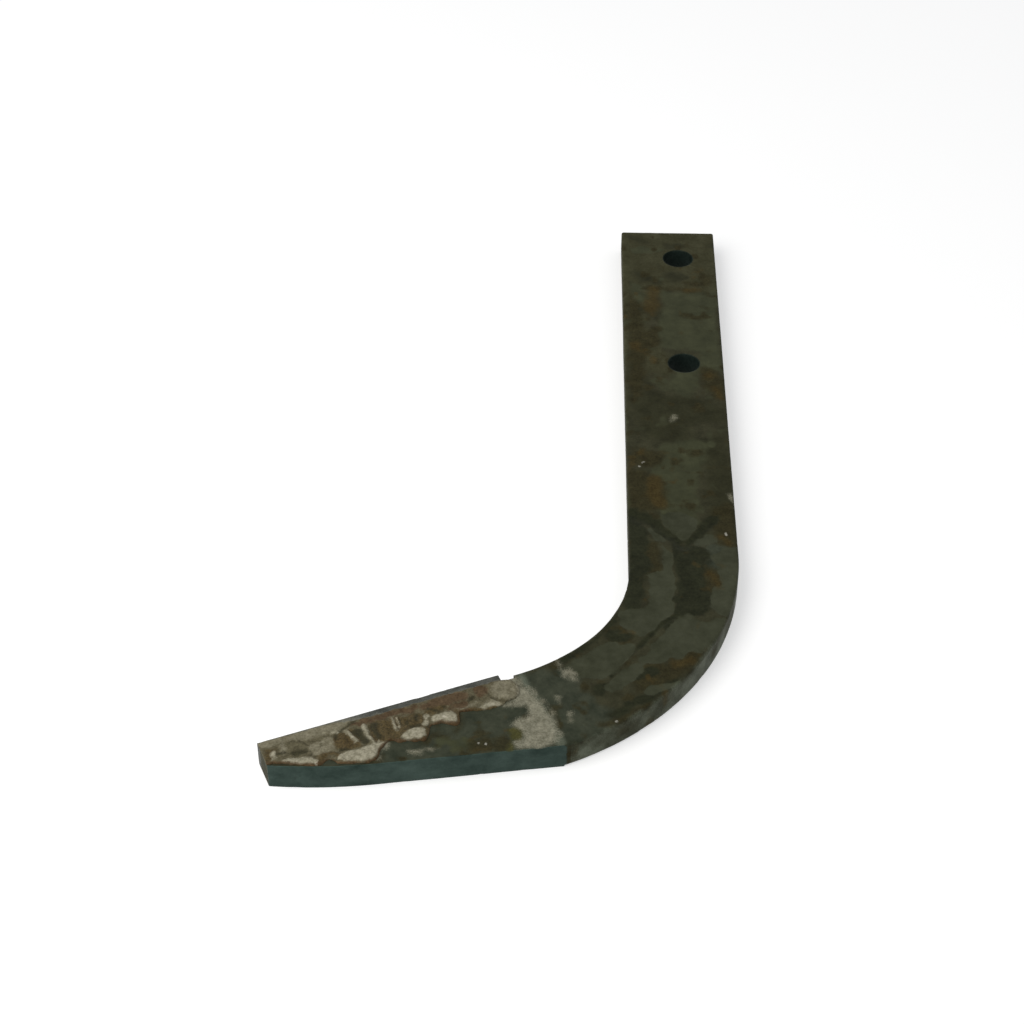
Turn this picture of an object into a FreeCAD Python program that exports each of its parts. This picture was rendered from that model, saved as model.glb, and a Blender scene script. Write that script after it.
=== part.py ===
"""Rotary tiller blade: a flat bar bent on edge, with a hard-metal strip brazed along its arm.

Frame, in millimetres: the blade lies flat on its underside at Z = 0.  The origin is midway
between the two bolt holes, +Y runs up the shank to its end, and the arm points to -X and -Y.

Arm frame, used by everything on the arm: the origin is where the inner edge of the bend runs
out into the straight arm, +X runs along the arm to the tip, and +Y is the depth from the line
of the inner edge towards the outer edge.
"""
import FreeCAD, Part
import math
import os

import Sketcher
from FreeCAD import Placement, Rotation, Vector

DRIVING_SIZES = (
    ("bar_width", 40.0, "flat bar, edge to edge"),
    ("bar_thickness", 10.0, "flat bar, face to face"),
    ("rolled_edge_radius", 1.0, "rounding that the rolling mill leaves on the long edges"),
    ("hole_diameter", 12.5, "clearance for a 12 mm bolt"),
    ("hole_spacing", 76.0, "between the centres of the bolt holes"),
    ("hole_edge_distance", 16.0, "hole centres to the outer edge"),
    ("hole_end_distance", 20.0, "upper hole centre to the sheared end"),
    ("inner_straight", 221.0, "inner edge, sheared end to the start of the bend"),
    ("outer_straight", 213.0, "outer edge, sheared end to the start of the bend"),
    ("inner_bend_radius", 57.5, "inner edge, first part of the bend"),
    ("inner_bend_angle", 42.5, "degrees turned on that radius"),
    ("inner_runout_radius", 72.5, "inner edge, easing into the arm"),
    ("inner_runout_angle", 24.0, "degrees turned on that radius"),
    ("outer_bend_radius", 108.5, "outer edge, one radius right through the bend"),
    ("shoulder_run", 1.0, "end of the bend to the shoulder of the rebate"),
    ("strip_gap", 5.0, "open notch between the shoulder and the strip's heel"),
    ("strip_length", 86.0, "wear strip, heel to tip"),
    ("strip_thickness", 3.2, "wear strip, seat to wearing face"),
    ("strip_edge_break", 0.3, "ground edges of the wearing face"),
    ("rebate_depth", 1.7, "rebate floor below the bar's inner edge"),
    ("braze_gap", 0.2, "filler between the rebate floor and the strip"),
    ("tip_stock", 4.0, "left on the arm and the filler, for grinding the tip square"),
    ("tip_depth", 9.6, "inner edge line to the outer corner of the tip"),
    ("knee_distance", 33.5, "tip back to the knee of the ground taper"),
    ("knee_depth", 22.3, "inner edge line to the knee"),
    ("taper_angle", 14.5, "degrees between the arm and the straight part of the taper"),
    ("crust_thickness", 0.5, "film of filler and flux on the top face"),
    ("crust_depth", 9.0, "inner edge line to the film's lower edge"),
    ("crust_lap", 0.8, "how far the film laps onto the strip's top"),
    ("tip_lap", 2.3, "the same near the tip, where the filler ran wider"),
    ("tip_lap_length", 32.0, "tip back to where the wider lap begins"),
    ("lap_ramp", 6.0, "length over which the lap widens"),
    ("puddle_radius", 5.2, "round puddle of filler in front of the strip's heel"),
    ("puddle_height", 1.4, "height of the puddle over the top face"),
    ("puddle_forward", 1.5, "strip's heel to the middle of the puddle"),
    ("puddle_margin", 0.3, "rebate floor to the rim of the puddle"),
)

# Beads of filler frozen on the film: name, distance back from the tip, depth from the inner
# edge line, radius of the footprint and height over the top face.
CRUST_BEADS = (
    ("tip_bead", 7.0, 4.6, 5.6, 0.8),
    ("arch_bead", 18.0, 9.8, 5.6, 0.9),
    ("ridge_bead", 29.5, 7.2, 5.2, 1.4),
    ("large_lobe", 31.0, 14.4, 5.7, 1.2),
    ("fold_bead", 38.0, 8.2, 5.4, 1.1),
    ("middle_lobe", 50.5, 11.6, 5.8, 1.3),
    ("small_lobe", 61.0, 9.4, 4.9, 1.0),
)

CUTTER_MARGIN = 10.0
SMALLEST_CUT = 0.001
MATCH = 0.01

# Places in the arm frame, as rules on the sheet.
HEEL_X = "(sizes.shoulder_run + sizes.strip_gap)"
TIP_X = "(sizes.shoulder_run + sizes.strip_gap + sizes.strip_length)"
STOCK_X = "(sizes.shoulder_run + sizes.strip_gap + sizes.strip_length + sizes.tip_stock)"
SEAT_Y = "(sizes.rebate_depth - sizes.braze_gap)"
FLOOR_Y = "sizes.rebate_depth"
ARM_TURN = "(270 - sizes.inner_bend_angle - sizes.inner_runout_angle) * 1 deg"

doc = FreeCAD.newDocument("tiller_blade")
sheet = doc.addObject("Spreadsheet::Sheet", "sizes")


def fill_sheet():
    """Write each driving size into the sheet: its name, its value under that alias, a note."""
    rows = list(DRIVING_SIZES)
    for name, back, depth, radius, height in CRUST_BEADS:
        rows.append((name + "_back", back, "tip back to the bead's middle"))
        rows.append((name + "_depth", depth, "inner edge line to the bead's middle"))
        rows.append((name + "_radius", radius, "radius of its footprint"))
        rows.append((name + "_height", height, "height over the top face"))
    for row, (name, value, note) in enumerate(rows, start=1):
        sheet.set("A%d" % row, name)
        sheet.set("B%d" % row, str(value))
        sheet.setAlias("B%d" % row, name)
        sheet.set("C%d" % row, note)
    doc.recompute()


def number(rule):
    """Value of a rule on the sheet, without its unit."""
    value = sheet.evalExpression(rule)
    return getattr(value, "Value", value)


def new_body(name):
    body = doc.addObject("PartDesign::Body", name)
    body.Label = name
    return body


def attach(item, body):
    """Attach a sketch or a primitive to the body's own XY plane."""
    planes = [plane for plane in body.Origin.OriginFeatures if plane.Role == "XY_Plane"]
    item.AttachmentSupport = [(planes[0], "")]
    item.MapMode = "FlatFace"


def new_sketch(body, name):
    sketch = body.newObject("Sketcher::SketchObject", name)
    attach(sketch, body)
    return sketch


def put_in_arm_frame(item, placement):
    """Tie the named placement to the arm frame, which follows the end of the bar's inner bend."""
    setattr(item, placement, Placement(Vector(), Rotation(Vector(0, 0, 1), number(ARM_TURN))))
    item.setExpression(placement + ".Rotation.Angle", ARM_TURN)
    item.setExpression(placement + ".Base.x", "bar_outline.Constraints.arm_start_x")
    item.setExpression(placement + ".Base.y", "bar_outline.Constraints.arm_start_y")


def drive(sketch, kind, places, rule, name):
    """Add a dimension whose value follows a rule on the sheet."""
    value = math.radians(number(rule)) if kind == "Angle" else number(rule)
    index = sketch.addConstraint(Sketcher.Constraint(kind, *places, value))
    sketch.renameConstraint(index, name)
    sketch.setExpression("Constraints." + name, rule)


def measure(sketch, kind, places, name):
    """Add a reference dimension that other objects can read by its name."""
    index = sketch.addConstraint(Sketcher.Constraint(kind, *places, 0.0))
    sketch.renameConstraint(index, name)
    sketch.setDriving(index, False)


def add_line(sketch, start, finish):
    return sketch.addGeometry(Part.LineSegment(start, finish), False)


def pin(sketch, edge, end, corner, name):
    """Hold one end of an edge at a corner given as a pair of rules."""
    x_rule, y_rule = corner
    drive(sketch, "DistanceX", (-1, 1, edge, end), x_rule, name + "_x")
    drive(sketch, "DistanceY", (-1, 1, edge, end), y_rule, name + "_y")


def at(corner):
    x_rule, y_rule = corner
    return Vector(number(x_rule), number(y_rule), 0)


def smooth_arc(start, heading, finish):
    """Arc that leaves start along the heading and ends at finish."""
    ahead = Vector(heading).normalize()
    chord = finish - start
    forward = ahead.dot(chord) / chord.Length
    sideways = ahead - chord * (forward / chord.Length)
    middle = start + chord / 2 + sideways * (chord.Length / 2 / (1 + forward))
    return Part.Arc(start, middle, finish)


def add_outline(sketch, corners, curved=None):
    """Closed outline through corners given as pairs of rules.

    Its edges are straight, apart from the one numbered in curved: that one is an arc, which
    carries on smoothly from the edge before it.
    """
    points = [at(corner) for corner in corners]
    edges = []
    for place, start in enumerate(points):
        finish = points[(place + 1) % len(points)]
        shape = Part.LineSegment(start, finish)
        if place == curved:
            shape = smooth_arc(start, start - points[place - 1], finish)
        edge = sketch.addGeometry(shape, False)
        turned = sketch.getPoint(edge, 1).distanceToPoint(start) > MATCH
        edges.append((edge, 2, 1) if turned else (edge, 1, 2))
    for place, (edge, start, end) in enumerate(edges):
        before, _, before_end = edges[place - 1]
        kind = "Tangent" if place == curved else "Coincident"
        sketch.addConstraint(Sketcher.Constraint(kind, before, before_end, edge, start))
        pin(sketch, edge, start, corners[place], "corner_%d" % place)


def pad(body, sketch, name, rule):
    feature = body.newObject("PartDesign::Pad", name)
    feature.Profile = sketch
    feature.setExpression("Length", rule)
    doc.recompute()
    return feature


def cut_through(body, sketch, name):
    """Pocket right through the body, both ways from the sketch; it has to remove something."""
    before = body.Shape.Volume
    feature = body.newObject("PartDesign::Pocket", name)
    feature.Profile = sketch
    feature.Type = "ThroughAll"
    feature.SideType = "Symmetric"
    doc.recompute()
    if body.Shape.Volume > before - SMALLEST_CUT:
        raise RuntimeError(name + " removed nothing")
    return feature


class Walk:
    """Lays lines and right-hand bends end to end, each running smoothly into the next."""

    def __init__(self, sketch, start):
        self.sketch = sketch
        self.place = start
        self.ahead = Vector(0, -1, 0)
        self.last = None

    def add(self, shape, start, end):
        edge = self.sketch.addGeometry(shape, False)
        if self.last:
            self.sketch.addConstraint(Sketcher.Constraint("Tangent", *self.last, edge, start))
        self.last = (edge, end)
        return edge

    def straight(self, length):
        start = self.place
        self.place = start + self.ahead * length
        return self.add(Part.LineSegment(start, self.place), 1, 2)

    def bend(self, radius, degrees):
        """Sketcher runs every arc anticlockwise, so this one is entered at its second end."""
        start = self.place
        centre = start + Vector(self.ahead.y, -self.ahead.x, 0) * radius
        middle = centre + Rotation(Vector(0, 0, -1), degrees / 2).multVec(start - centre)
        whole = Rotation(Vector(0, 0, -1), degrees)
        self.place = centre + whole.multVec(start - centre)
        self.ahead = whole.multVec(self.ahead)
        return self.add(Part.Arc(start, middle, self.place), 2, 1)


def draw_bar_outline(body):
    """The bent bar before anything is ground off it; returns the sketch and its rolled edges."""
    sketch = new_sketch(body, "bar_outline")
    outer_x = "sizes.hole_edge_distance"
    inner_x = "(sizes.hole_edge_distance - sizes.bar_width)"
    end_y = "(sizes.hole_spacing / 2 + sizes.hole_end_distance)"
    whole_turn = "(sizes.inner_bend_angle + sizes.inner_runout_angle)"

    inner = Walk(sketch, at((inner_x, end_y)))
    inner_shank = inner.straight(number("sizes.inner_straight"))
    inner_bend = inner.bend(number("sizes.inner_bend_radius"), number("sizes.inner_bend_angle"))
    inner_runout = inner.bend(number("sizes.inner_runout_radius"), number("sizes.inner_runout_angle"))
    inner_arm = inner.straight(number(STOCK_X))

    outer = Walk(sketch, at((outer_x, end_y)))
    outer_shank = outer.straight(number("sizes.outer_straight"))
    outer_bend = outer.bend(number("sizes.outer_bend_radius"), number(whole_turn))
    outer_arm = outer.straight((inner.place - outer.place).dot(inner.ahead))

    sheared_end = add_line(sketch, at((inner_x, end_y)), at((outer_x, end_y)))
    arm_end = add_line(sketch, inner.place, outer.place)
    sketch.addConstraint(Sketcher.Constraint("Coincident", sheared_end, 1, inner_shank, 1))
    sketch.addConstraint(Sketcher.Constraint("Coincident", sheared_end, 2, outer_shank, 1))
    sketch.addConstraint(Sketcher.Constraint("Coincident", arm_end, 1, inner_arm, 2))
    sketch.addConstraint(Sketcher.Constraint("Coincident", arm_end, 2, outer_arm, 2))
    sketch.addConstraint(Sketcher.Constraint("Vertical", inner_shank))
    sketch.addConstraint(Sketcher.Constraint("Vertical", outer_shank))
    sketch.addConstraint(Sketcher.Constraint("Parallel", inner_arm, outer_arm))
    sketch.addConstraint(Sketcher.Constraint("Perpendicular", arm_end, inner_arm))

    pin(sketch, inner_shank, 1, (inner_x, end_y), "inner_corner")
    pin(sketch, outer_shank, 1, (outer_x, end_y), "outer_corner")
    drive(sketch, "Distance", (inner_shank,), "sizes.inner_straight", "inner_straight")
    drive(sketch, "Distance", (outer_shank,), "sizes.outer_straight", "outer_straight")
    drive(sketch, "Distance", (inner_arm,), STOCK_X, "arm_length")
    drive(sketch, "Radius", (inner_bend,), "sizes.inner_bend_radius", "inner_bend_radius")
    drive(sketch, "Angle", (inner_bend,), "sizes.inner_bend_angle * 1 deg", "inner_bend_angle")
    drive(sketch, "Radius", (inner_runout,), "sizes.inner_runout_radius", "inner_runout_radius")
    drive(sketch, "Angle", (inner_runout,), "sizes.inner_runout_angle * 1 deg", "inner_runout_angle")
    drive(sketch, "Radius", (outer_bend,), "sizes.outer_bend_radius", "outer_bend_radius")
    measure(sketch, "DistanceX", (-1, 1, inner_arm, 1), "arm_start_x")
    measure(sketch, "DistanceY", (-1, 1, inner_arm, 1), "arm_start_y")
    measure(sketch, "Distance", (outer_arm, 2, inner_arm), "arm_depth")
    doc.recompute()
    rolled = (inner_shank, inner_bend, inner_runout, inner_arm, outer_shank, outer_bend, outer_arm)
    return sketch, rolled


def edges_over(shape, sketch, drawn):
    """Names of the shape's level edges that lie over the given edges of the sketch."""
    curves = [sketch.Geometry[index] for index in drawn]
    places = [curve.value((curve.FirstParameter + curve.LastParameter) / 2) for curve in curves]
    names = []
    for count, edge in enumerate(shape.Edges, start=1):
        middle = edge.valueAt((edge.FirstParameter + edge.LastParameter) / 2)
        below = Vector(middle.x, middle.y, 0)
        if edge.BoundBox.ZLength < MATCH and any(below.isEqual(place, MATCH) for place in places):
            names.append("Edge%d" % count)
    return names


def round_rolled_edges(body, bar, sketch, rolled):
    fillet = body.newObject("PartDesign::Fillet", "rolled_edges")
    fillet.Base = (bar, edges_over(bar.Shape, sketch, rolled))
    fillet.setExpression("Radius", "sizes.rolled_edge_radius")
    doc.recompute()


def grind_arm(body, name, in_arm_frame):
    """Cut away everything outside the ground arm: past the square tip and under the taper.

    The taper runs straight from the heel to the knee, then curves smoothly on to the tip.
    """
    past_edge = "(bar_outline.Constraints.arm_depth / 1 mm + %s)" % CUTTER_MARGIN
    past_tip = "(%s + %s)" % (STOCK_X, CUTTER_MARGIN)
    knee_x = "(%s - sizes.knee_distance)" % TIP_X
    taper_run = "((%s - sizes.knee_depth) / tan(sizes.taper_angle * 1 deg))" % past_edge
    above = "(-sizes.bar_width)"
    corners = (
        ("(%s - %s)" % (knee_x, taper_run), past_edge),
        (knee_x, "sizes.knee_depth"),
        (TIP_X, "sizes.tip_depth"),
        (TIP_X, above),
        (past_tip, above),
        (past_tip, past_edge),
    )
    sketch = new_sketch(body, name + "_outline")
    if in_arm_frame:
        put_in_arm_frame(sketch, "AttachmentOffset")
    add_outline(sketch, corners, curved=1)
    doc.recompute()
    cut_through(body, sketch, name)


def mill_rebate(body):
    """Step along the inner edge of the arm, from the shoulder out past the tip."""
    past_tip = "(%s + %s)" % (STOCK_X, CUTTER_MARGIN)
    above = "(-%s)" % CUTTER_MARGIN
    sketch = new_sketch(body, "rebate_outline")
    put_in_arm_frame(sketch, "AttachmentOffset")
    add_outline(sketch, (
        ("sizes.shoulder_run", above),
        ("sizes.shoulder_run", FLOOR_Y),
        (past_tip, FLOOR_Y),
        (past_tip, above),
    ))
    doc.recompute()
    cut_through(body, sketch, "strip_rebate")


def drill_bolt_holes(body):
    sketch = new_sketch(body, "bolt_hole_circles")
    for side, sign in (("upper", ""), ("lower", "-")):
        centre_y = sign + "sizes.hole_spacing / 2"
        radius = number("sizes.hole_diameter") / 2
        circle = Part.Circle(Vector(0, number(centre_y), 0), Vector(0, 0, 1), radius)
        edge = sketch.addGeometry(circle, False)
        sketch.addConstraint(Sketcher.Constraint("PointOnObject", edge, 3, -2))
        drive(sketch, "DistanceY", (-1, 1, edge, 3), centre_y, side + "_hole_y")
        drive(sketch, "Diameter", (edge,), "sizes.hole_diameter", side + "_hole_diameter")
    doc.recompute()
    cut_through(body, sketch, "bolt_holes")


def build_blade():
    """Flat bar: bent on edge, rolled edges rounded, arm ground, rebate milled, holes drilled."""
    body = new_body("blade")
    sketch, rolled = draw_bar_outline(body)
    bar = pad(body, sketch, "bent_bar", "sizes.bar_thickness")
    round_rolled_edges(body, bar, sketch, rolled)
    grind_arm(body, "ground_taper", in_arm_frame=True)
    mill_rebate(body)
    drill_bolt_holes(body)
    return body


def build_wear_strip():
    """Hard-metal strip, flush with both faces of the bar and proud of its inner edge."""
    body = new_body("wear_strip")
    put_in_arm_frame(body, "Placement")
    face_y = "(%s - sizes.strip_thickness)" % SEAT_Y
    sketch = new_sketch(body, "strip_outline")
    add_outline(sketch, ((HEEL_X, face_y), (TIP_X, face_y), (TIP_X, SEAT_Y), (HEEL_X, SEAT_Y)))
    bar = pad(body, sketch, "strip", "sizes.bar_thickness")
    chamfer = body.newObject("PartDesign::Chamfer", "ground_edges")
    chamfer.Base = (bar, edges_over(bar.Shape, sketch, (0,)))
    chamfer.setExpression("Size", "sizes.strip_edge_break")
    doc.recompute()
    return body


def add_bead(body, name, x_rule, y_rule, radius, height):
    """Cap of a sphere that stands on the top face: a drop of filler as it froze."""
    sphere = "((%s ^ 2 + %s ^ 2) / (2 * %s))" % (radius, height, height)
    bead = body.newObject("PartDesign::AdditiveSphere", name)
    attach(bead, body)
    bead.setExpression("Radius", sphere)
    bead.setExpression("Angle1", "asin(1 - %s / %s)" % (height, sphere))
    bead.setExpression("AttachmentOffset.Base.x", x_rule)
    bead.setExpression("AttachmentOffset.Base.y", y_rule)
    bead.setExpression("AttachmentOffset.Base.z", "sizes.bar_thickness + %s - %s" % (height, sphere))
    doc.recompute()


def build_braze_deposit():
    """Filler: the seam behind the strip, the film on the top face, its beads and the puddle."""
    body = new_body("braze_deposit")
    put_in_arm_frame(body, "Placement")

    seam = new_sketch(body, "seam_outline")
    add_outline(seam, ((HEEL_X, SEAT_Y), (STOCK_X, SEAT_Y), (STOCK_X, FLOOR_Y), (HEEL_X, FLOOR_Y)))
    pad(body, seam, "seam", "sizes.bar_thickness")

    puddle_x = "(%s + sizes.puddle_forward)" % HEEL_X
    puddle_y = "(%s + sizes.puddle_margin + sizes.puddle_radius)" % FLOOR_Y
    narrow_lap = "(%s - sizes.crust_lap)" % SEAT_Y
    wide_lap = "(%s - sizes.tip_lap)" % SEAT_Y
    lap_x = "(%s - sizes.tip_lap_length)" % TIP_X
    film = new_sketch(body, "film_outline")
    film.setExpression("AttachmentOffset.Base.z", "sizes.bar_thickness")
    add_outline(film, (
        (puddle_x, narrow_lap),
        (lap_x, narrow_lap),
        ("(%s + sizes.lap_ramp)" % lap_x, wide_lap),
        (STOCK_X, wide_lap),
        (STOCK_X, "sizes.crust_depth"),
        (puddle_x, "sizes.crust_depth"),
    ))
    pad(body, film, "film", "sizes.crust_thickness")

    add_bead(body, "puddle", puddle_x, puddle_y, "sizes.puddle_radius", "sizes.puddle_height")
    for name, back, depth, radius, height in CRUST_BEADS:
        cell = "sizes." + name
        x_rule = "%s - %s_back" % (TIP_X, cell)
        add_bead(body, name, x_rule, cell + "_depth", cell + "_radius", cell + "_height")
    grind_arm(body, "ground_flush", in_arm_frame=False)
    return body


def check_document():
    for item in doc.Objects:
        if "Invalid" in item.State or "Error" in item.State:
            raise RuntimeError("%s did not recompute" % item.Name)


def export(body):
    """Write one piece, after a check that it is one sound solid."""
    shape = body.Shape
    if shape.isNull() or not shape.isValid() or len(shape.Solids) != 1:
        raise RuntimeError("%s is not one valid solid" % body.Label)
    shape.exportStep("parts/%s.step" % body.Label)
    box = shape.optimalBoundingBox()
    print("%-14s %9.1f mm3  x %7.2f %7.2f  y %7.2f %7.2f  z %5.2f %5.2f" % (
        body.Label, shape.Volume, box.XMin, box.XMax, box.YMin, box.YMax, box.ZMin, box.ZMax))


def main():
    os.makedirs("parts", exist_ok=True)
    fill_sheet()
    pieces = (build_blade(), build_wear_strip(), build_braze_deposit())
    doc.recompute()
    check_document()
    for piece in pieces:
        export(piece)


main()
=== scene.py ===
"""Looks of the rotary tiller blade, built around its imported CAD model.

Everything is worked out in millimetres in the model's own frame and turned to metres when a
mesh is made.  The frame: the blade lies flat on its underside at Z = 0, the origin is midway
between the two bolt holes, +Y runs up the shank and the arm points to -X and -Y.  The arm
frame, used for what lies on the arm, starts where the inner edge runs out into the straight
arm: +X runs along the arm to the tip and +Y is the depth from the inner edge.
"""

import logging
import math
from dataclasses import dataclass, field
from enum import Enum

import bmesh
import bpy
import numpy as np
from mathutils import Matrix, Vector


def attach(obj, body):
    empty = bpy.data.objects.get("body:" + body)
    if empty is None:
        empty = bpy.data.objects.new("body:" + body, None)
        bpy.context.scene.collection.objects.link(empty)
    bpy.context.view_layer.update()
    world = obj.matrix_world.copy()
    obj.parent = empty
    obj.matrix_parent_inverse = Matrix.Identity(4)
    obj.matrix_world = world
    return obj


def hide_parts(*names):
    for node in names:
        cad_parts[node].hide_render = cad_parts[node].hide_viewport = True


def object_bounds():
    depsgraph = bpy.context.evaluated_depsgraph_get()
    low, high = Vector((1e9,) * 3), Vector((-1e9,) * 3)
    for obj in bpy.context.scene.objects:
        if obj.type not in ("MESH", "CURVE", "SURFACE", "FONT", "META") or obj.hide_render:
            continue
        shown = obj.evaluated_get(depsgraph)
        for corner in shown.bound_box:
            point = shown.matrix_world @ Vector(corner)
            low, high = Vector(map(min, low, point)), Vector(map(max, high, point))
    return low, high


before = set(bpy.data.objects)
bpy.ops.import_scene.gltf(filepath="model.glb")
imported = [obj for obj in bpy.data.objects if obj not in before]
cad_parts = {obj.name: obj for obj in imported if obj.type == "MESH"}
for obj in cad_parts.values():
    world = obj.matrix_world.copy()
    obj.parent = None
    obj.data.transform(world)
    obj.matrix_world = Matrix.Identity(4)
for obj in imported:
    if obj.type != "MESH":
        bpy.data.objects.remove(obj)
CAD_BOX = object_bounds()

MM = 0.001
LOG = logging.getLogger("tiller_blade")

Point = tuple[float, float]


# ---- shapes and random grain


def ease(values: np.ndarray, start: float, finish: float) -> np.ndarray:
    """Rise smoothly from 0 at start to 1 at finish.

    Args:
        values: Any array of numbers.
        start: Value at which the rise begins.
        finish: Value at which it is complete.

    Returns:
        An array of the same shape, from 0 to 1.
    """
    share = np.clip((values - start) / (finish - start), 0.0, 1.0)
    return share * share * (3.0 - 2.0 * share)


@dataclass(frozen=True)
class Grain:
    """Smooth random lumps, the same on every run.

    Attributes:
        size: Millimetres from one lump to the next.
        seed: Picks one field out of many.
        octaves: How many times finer lumps are laid over the coarse ones.
    """

    size: float
    seed: int
    octaves: int = 3

    CELLS = 32  # lattice points a side, after which the field repeats
    OFFSET = 5.17  # lattice steps that each finer layer is moved by
    GAIN = 1.8  # brings the sum of the layers to about -1 to 1

    def at(self, places: np.ndarray) -> np.ndarray:
        """Height of the field, about -1 to 1.

        Args:
            places: Rows of two or three coordinates in millimetres.

        Returns:
            One value for each row.
        """
        lattice = np.random.default_rng(self.seed).uniform(-1.0, 1.0, (self.CELLS,) * 3)
        solid = np.zeros((len(places), 3))
        solid[:, :places.shape[1]] = places
        total = np.zeros(len(places))
        weight = 1.0
        weights = 0.0
        for octave in range(self.octaves):
            scaled = solid * (2.0 ** octave / self.size) + self.OFFSET * octave
            cell = np.floor(scaled).astype(int)
            part = scaled - cell
            part = part * part * (3.0 - 2.0 * part)
            layer = np.zeros(len(places))
            for corner in np.ndindex(2, 2, 2):
                near = np.where(corner, part, 1.0 - part).prod(axis=1)
                spot = (cell + corner) % self.CELLS
                layer += near * lattice[spot[:, 0], spot[:, 1], spot[:, 2]]
            total += weight * layer
            weights += weight
            weight *= 0.5
        return total * self.GAIN / weights

    def lifted(self, places: np.ndarray) -> np.ndarray:
        """The same field moved to run from 0 to 1."""
        return np.clip(0.5 + 0.5 * self.at(places), 0.0, 1.0)


def run_through(corners: tuple[Point, ...], closed: bool, steps: int = 6) -> np.ndarray:
    """Smooth line through every corner.

    Args:
        corners: Points in millimetres.
        closed: Whether the line comes back to its first corner.
        steps: Points laid between one corner and the next.

    Returns:
        Rows of two coordinates.
    """
    knots = np.array(corners, float)
    if len(knots) < 3:
        return knots
    if closed:
        before, after, beyond = np.roll(knots, 1, 0), np.roll(knots, -1, 0), np.roll(knots, -2, 0)
        here = knots
    else:
        here, after = knots[:-1], knots[1:]
        before = np.vstack([knots[:1], knots[:-2]])
        beyond = np.vstack([knots[2:], knots[-1:]])
    share = (np.arange(steps) / steps)[None, :, None]
    p0, p1, p2, p3 = (side[:, None] for side in (before, here, after, beyond))
    line = 0.5 * (2 * p1 + (p2 - p0) * share + (2 * p0 - 5 * p1 + 4 * p2 - p3) * share ** 2
                  + (3 * p1 - p0 - 3 * p2 + p3) * share ** 3)
    line = line.reshape(-1, 2)
    return line if closed else np.vstack([line, knots[-1:]])


def distance_to(places: np.ndarray, starts: np.ndarray, finishes: np.ndarray) -> np.ndarray:
    """Distance from each place to the nearest of a set of straight runs.

    Args:
        places: Rows of two coordinates.
        starts: Where each run begins.
        finishes: Where each run ends.

    Returns:
        One distance for each place.
    """
    run = finishes - starts
    length = np.maximum((run * run).sum(1), 1e-9)
    offset = places[:, None] - starts[None]
    share = np.clip((offset * run).sum(2) / length, 0.0, 1.0)
    return np.linalg.norm(offset - share[..., None] * run, axis=2).min(1)


class Mark:
    """Something that shows on a surface at a given place."""

    REACH = 4.0  # millimetres either side of a border over which depth is told

    def line(self) -> np.ndarray:
        """Points of the mark's outline or middle line."""
        raise NotImplementedError

    def measure(self, places: np.ndarray) -> np.ndarray:
        """How deep inside the mark each place lies, negative outside."""
        raise NotImplementedError

    def depth(self, places: np.ndarray) -> np.ndarray:
        """How deep inside the mark each place lies, cut off at its reach.

        Args:
            places: Rows of two coordinates.

        Returns:
            Millimetres inside, from -REACH to REACH.
        """
        line = self.line()
        near = np.all((places > line.min(0) - 2 * self.REACH)
                      & (places < line.max(0) + 2 * self.REACH), axis=1)
        depths = np.full(len(places), -self.REACH)
        if near.any():
            depths[near] = np.clip(self.measure(places[near]), -self.REACH, self.REACH)
        return depths


@dataclass(frozen=True)
class Patch(Mark):
    """A mark that fills a smooth closed outline.

    Attributes:
        corners: Points that the outline runs through, in millimetres.
    """

    corners: tuple[Point, ...]

    def line(self) -> np.ndarray:
        """The smooth outline."""
        return run_through(self.corners, closed=True)

    def measure(self, places: np.ndarray) -> np.ndarray:
        """Distance to the outline.

        Args:
            places: Rows of two coordinates.

        Returns:
            Millimetres, positive inside the outline.
        """
        outline = self.line()
        ahead = np.roll(outline, -1, axis=0)
        gap = distance_to(places, outline, ahead)
        x, y = places[:, :1], places[:, 1:]
        spans = (outline[:, 1] > y) != (ahead[:, 1] > y)
        rise = np.where(ahead[:, 1] == outline[:, 1], 1e-9, ahead[:, 1] - outline[:, 1])
        crossing = outline[:, 0] + (y - outline[:, 1]) * (ahead[:, 0] - outline[:, 0]) / rise
        inside = (spans & (x < crossing)).sum(1) % 2 == 1
        return np.where(inside, gap, -gap)


@dataclass(frozen=True)
class Streak(Mark):
    """A mark along a smooth open line, or a round spot where it has one point.

    Attributes:
        points: Points that the middle line runs through, in millimetres.
        width: Across the mark, in millimetres.
    """

    points: tuple[Point, ...]
    width: float

    def line(self) -> np.ndarray:
        """The smooth middle line."""
        return run_through(self.points, closed=False)

    def measure(self, places: np.ndarray) -> np.ndarray:
        """Half the width less the distance to the middle line.

        Args:
            places: Rows of two coordinates.

        Returns:
            Millimetres, positive within the width.
        """
        middle = self.line()
        starts = middle[:-1] if len(middle) > 1 else middle
        finishes = middle[1:] if len(middle) > 1 else middle
        return self.width / 2 - distance_to(places, starts, finishes)


def deepest(marks: tuple[Mark, ...], places: np.ndarray) -> np.ndarray:
    """Depth inside whichever mark holds each place best.

    Args:
        marks: The marks of one coat.
        places: Rows of two coordinates.

    Returns:
        Millimetres inside, negative outside every mark.
    """
    depths = np.full(len(places), -Mark.REACH)
    for mark in marks:
        depths = np.maximum(depths, mark.depth(places))
    return depths


# ---- sizes of the real blade


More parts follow.
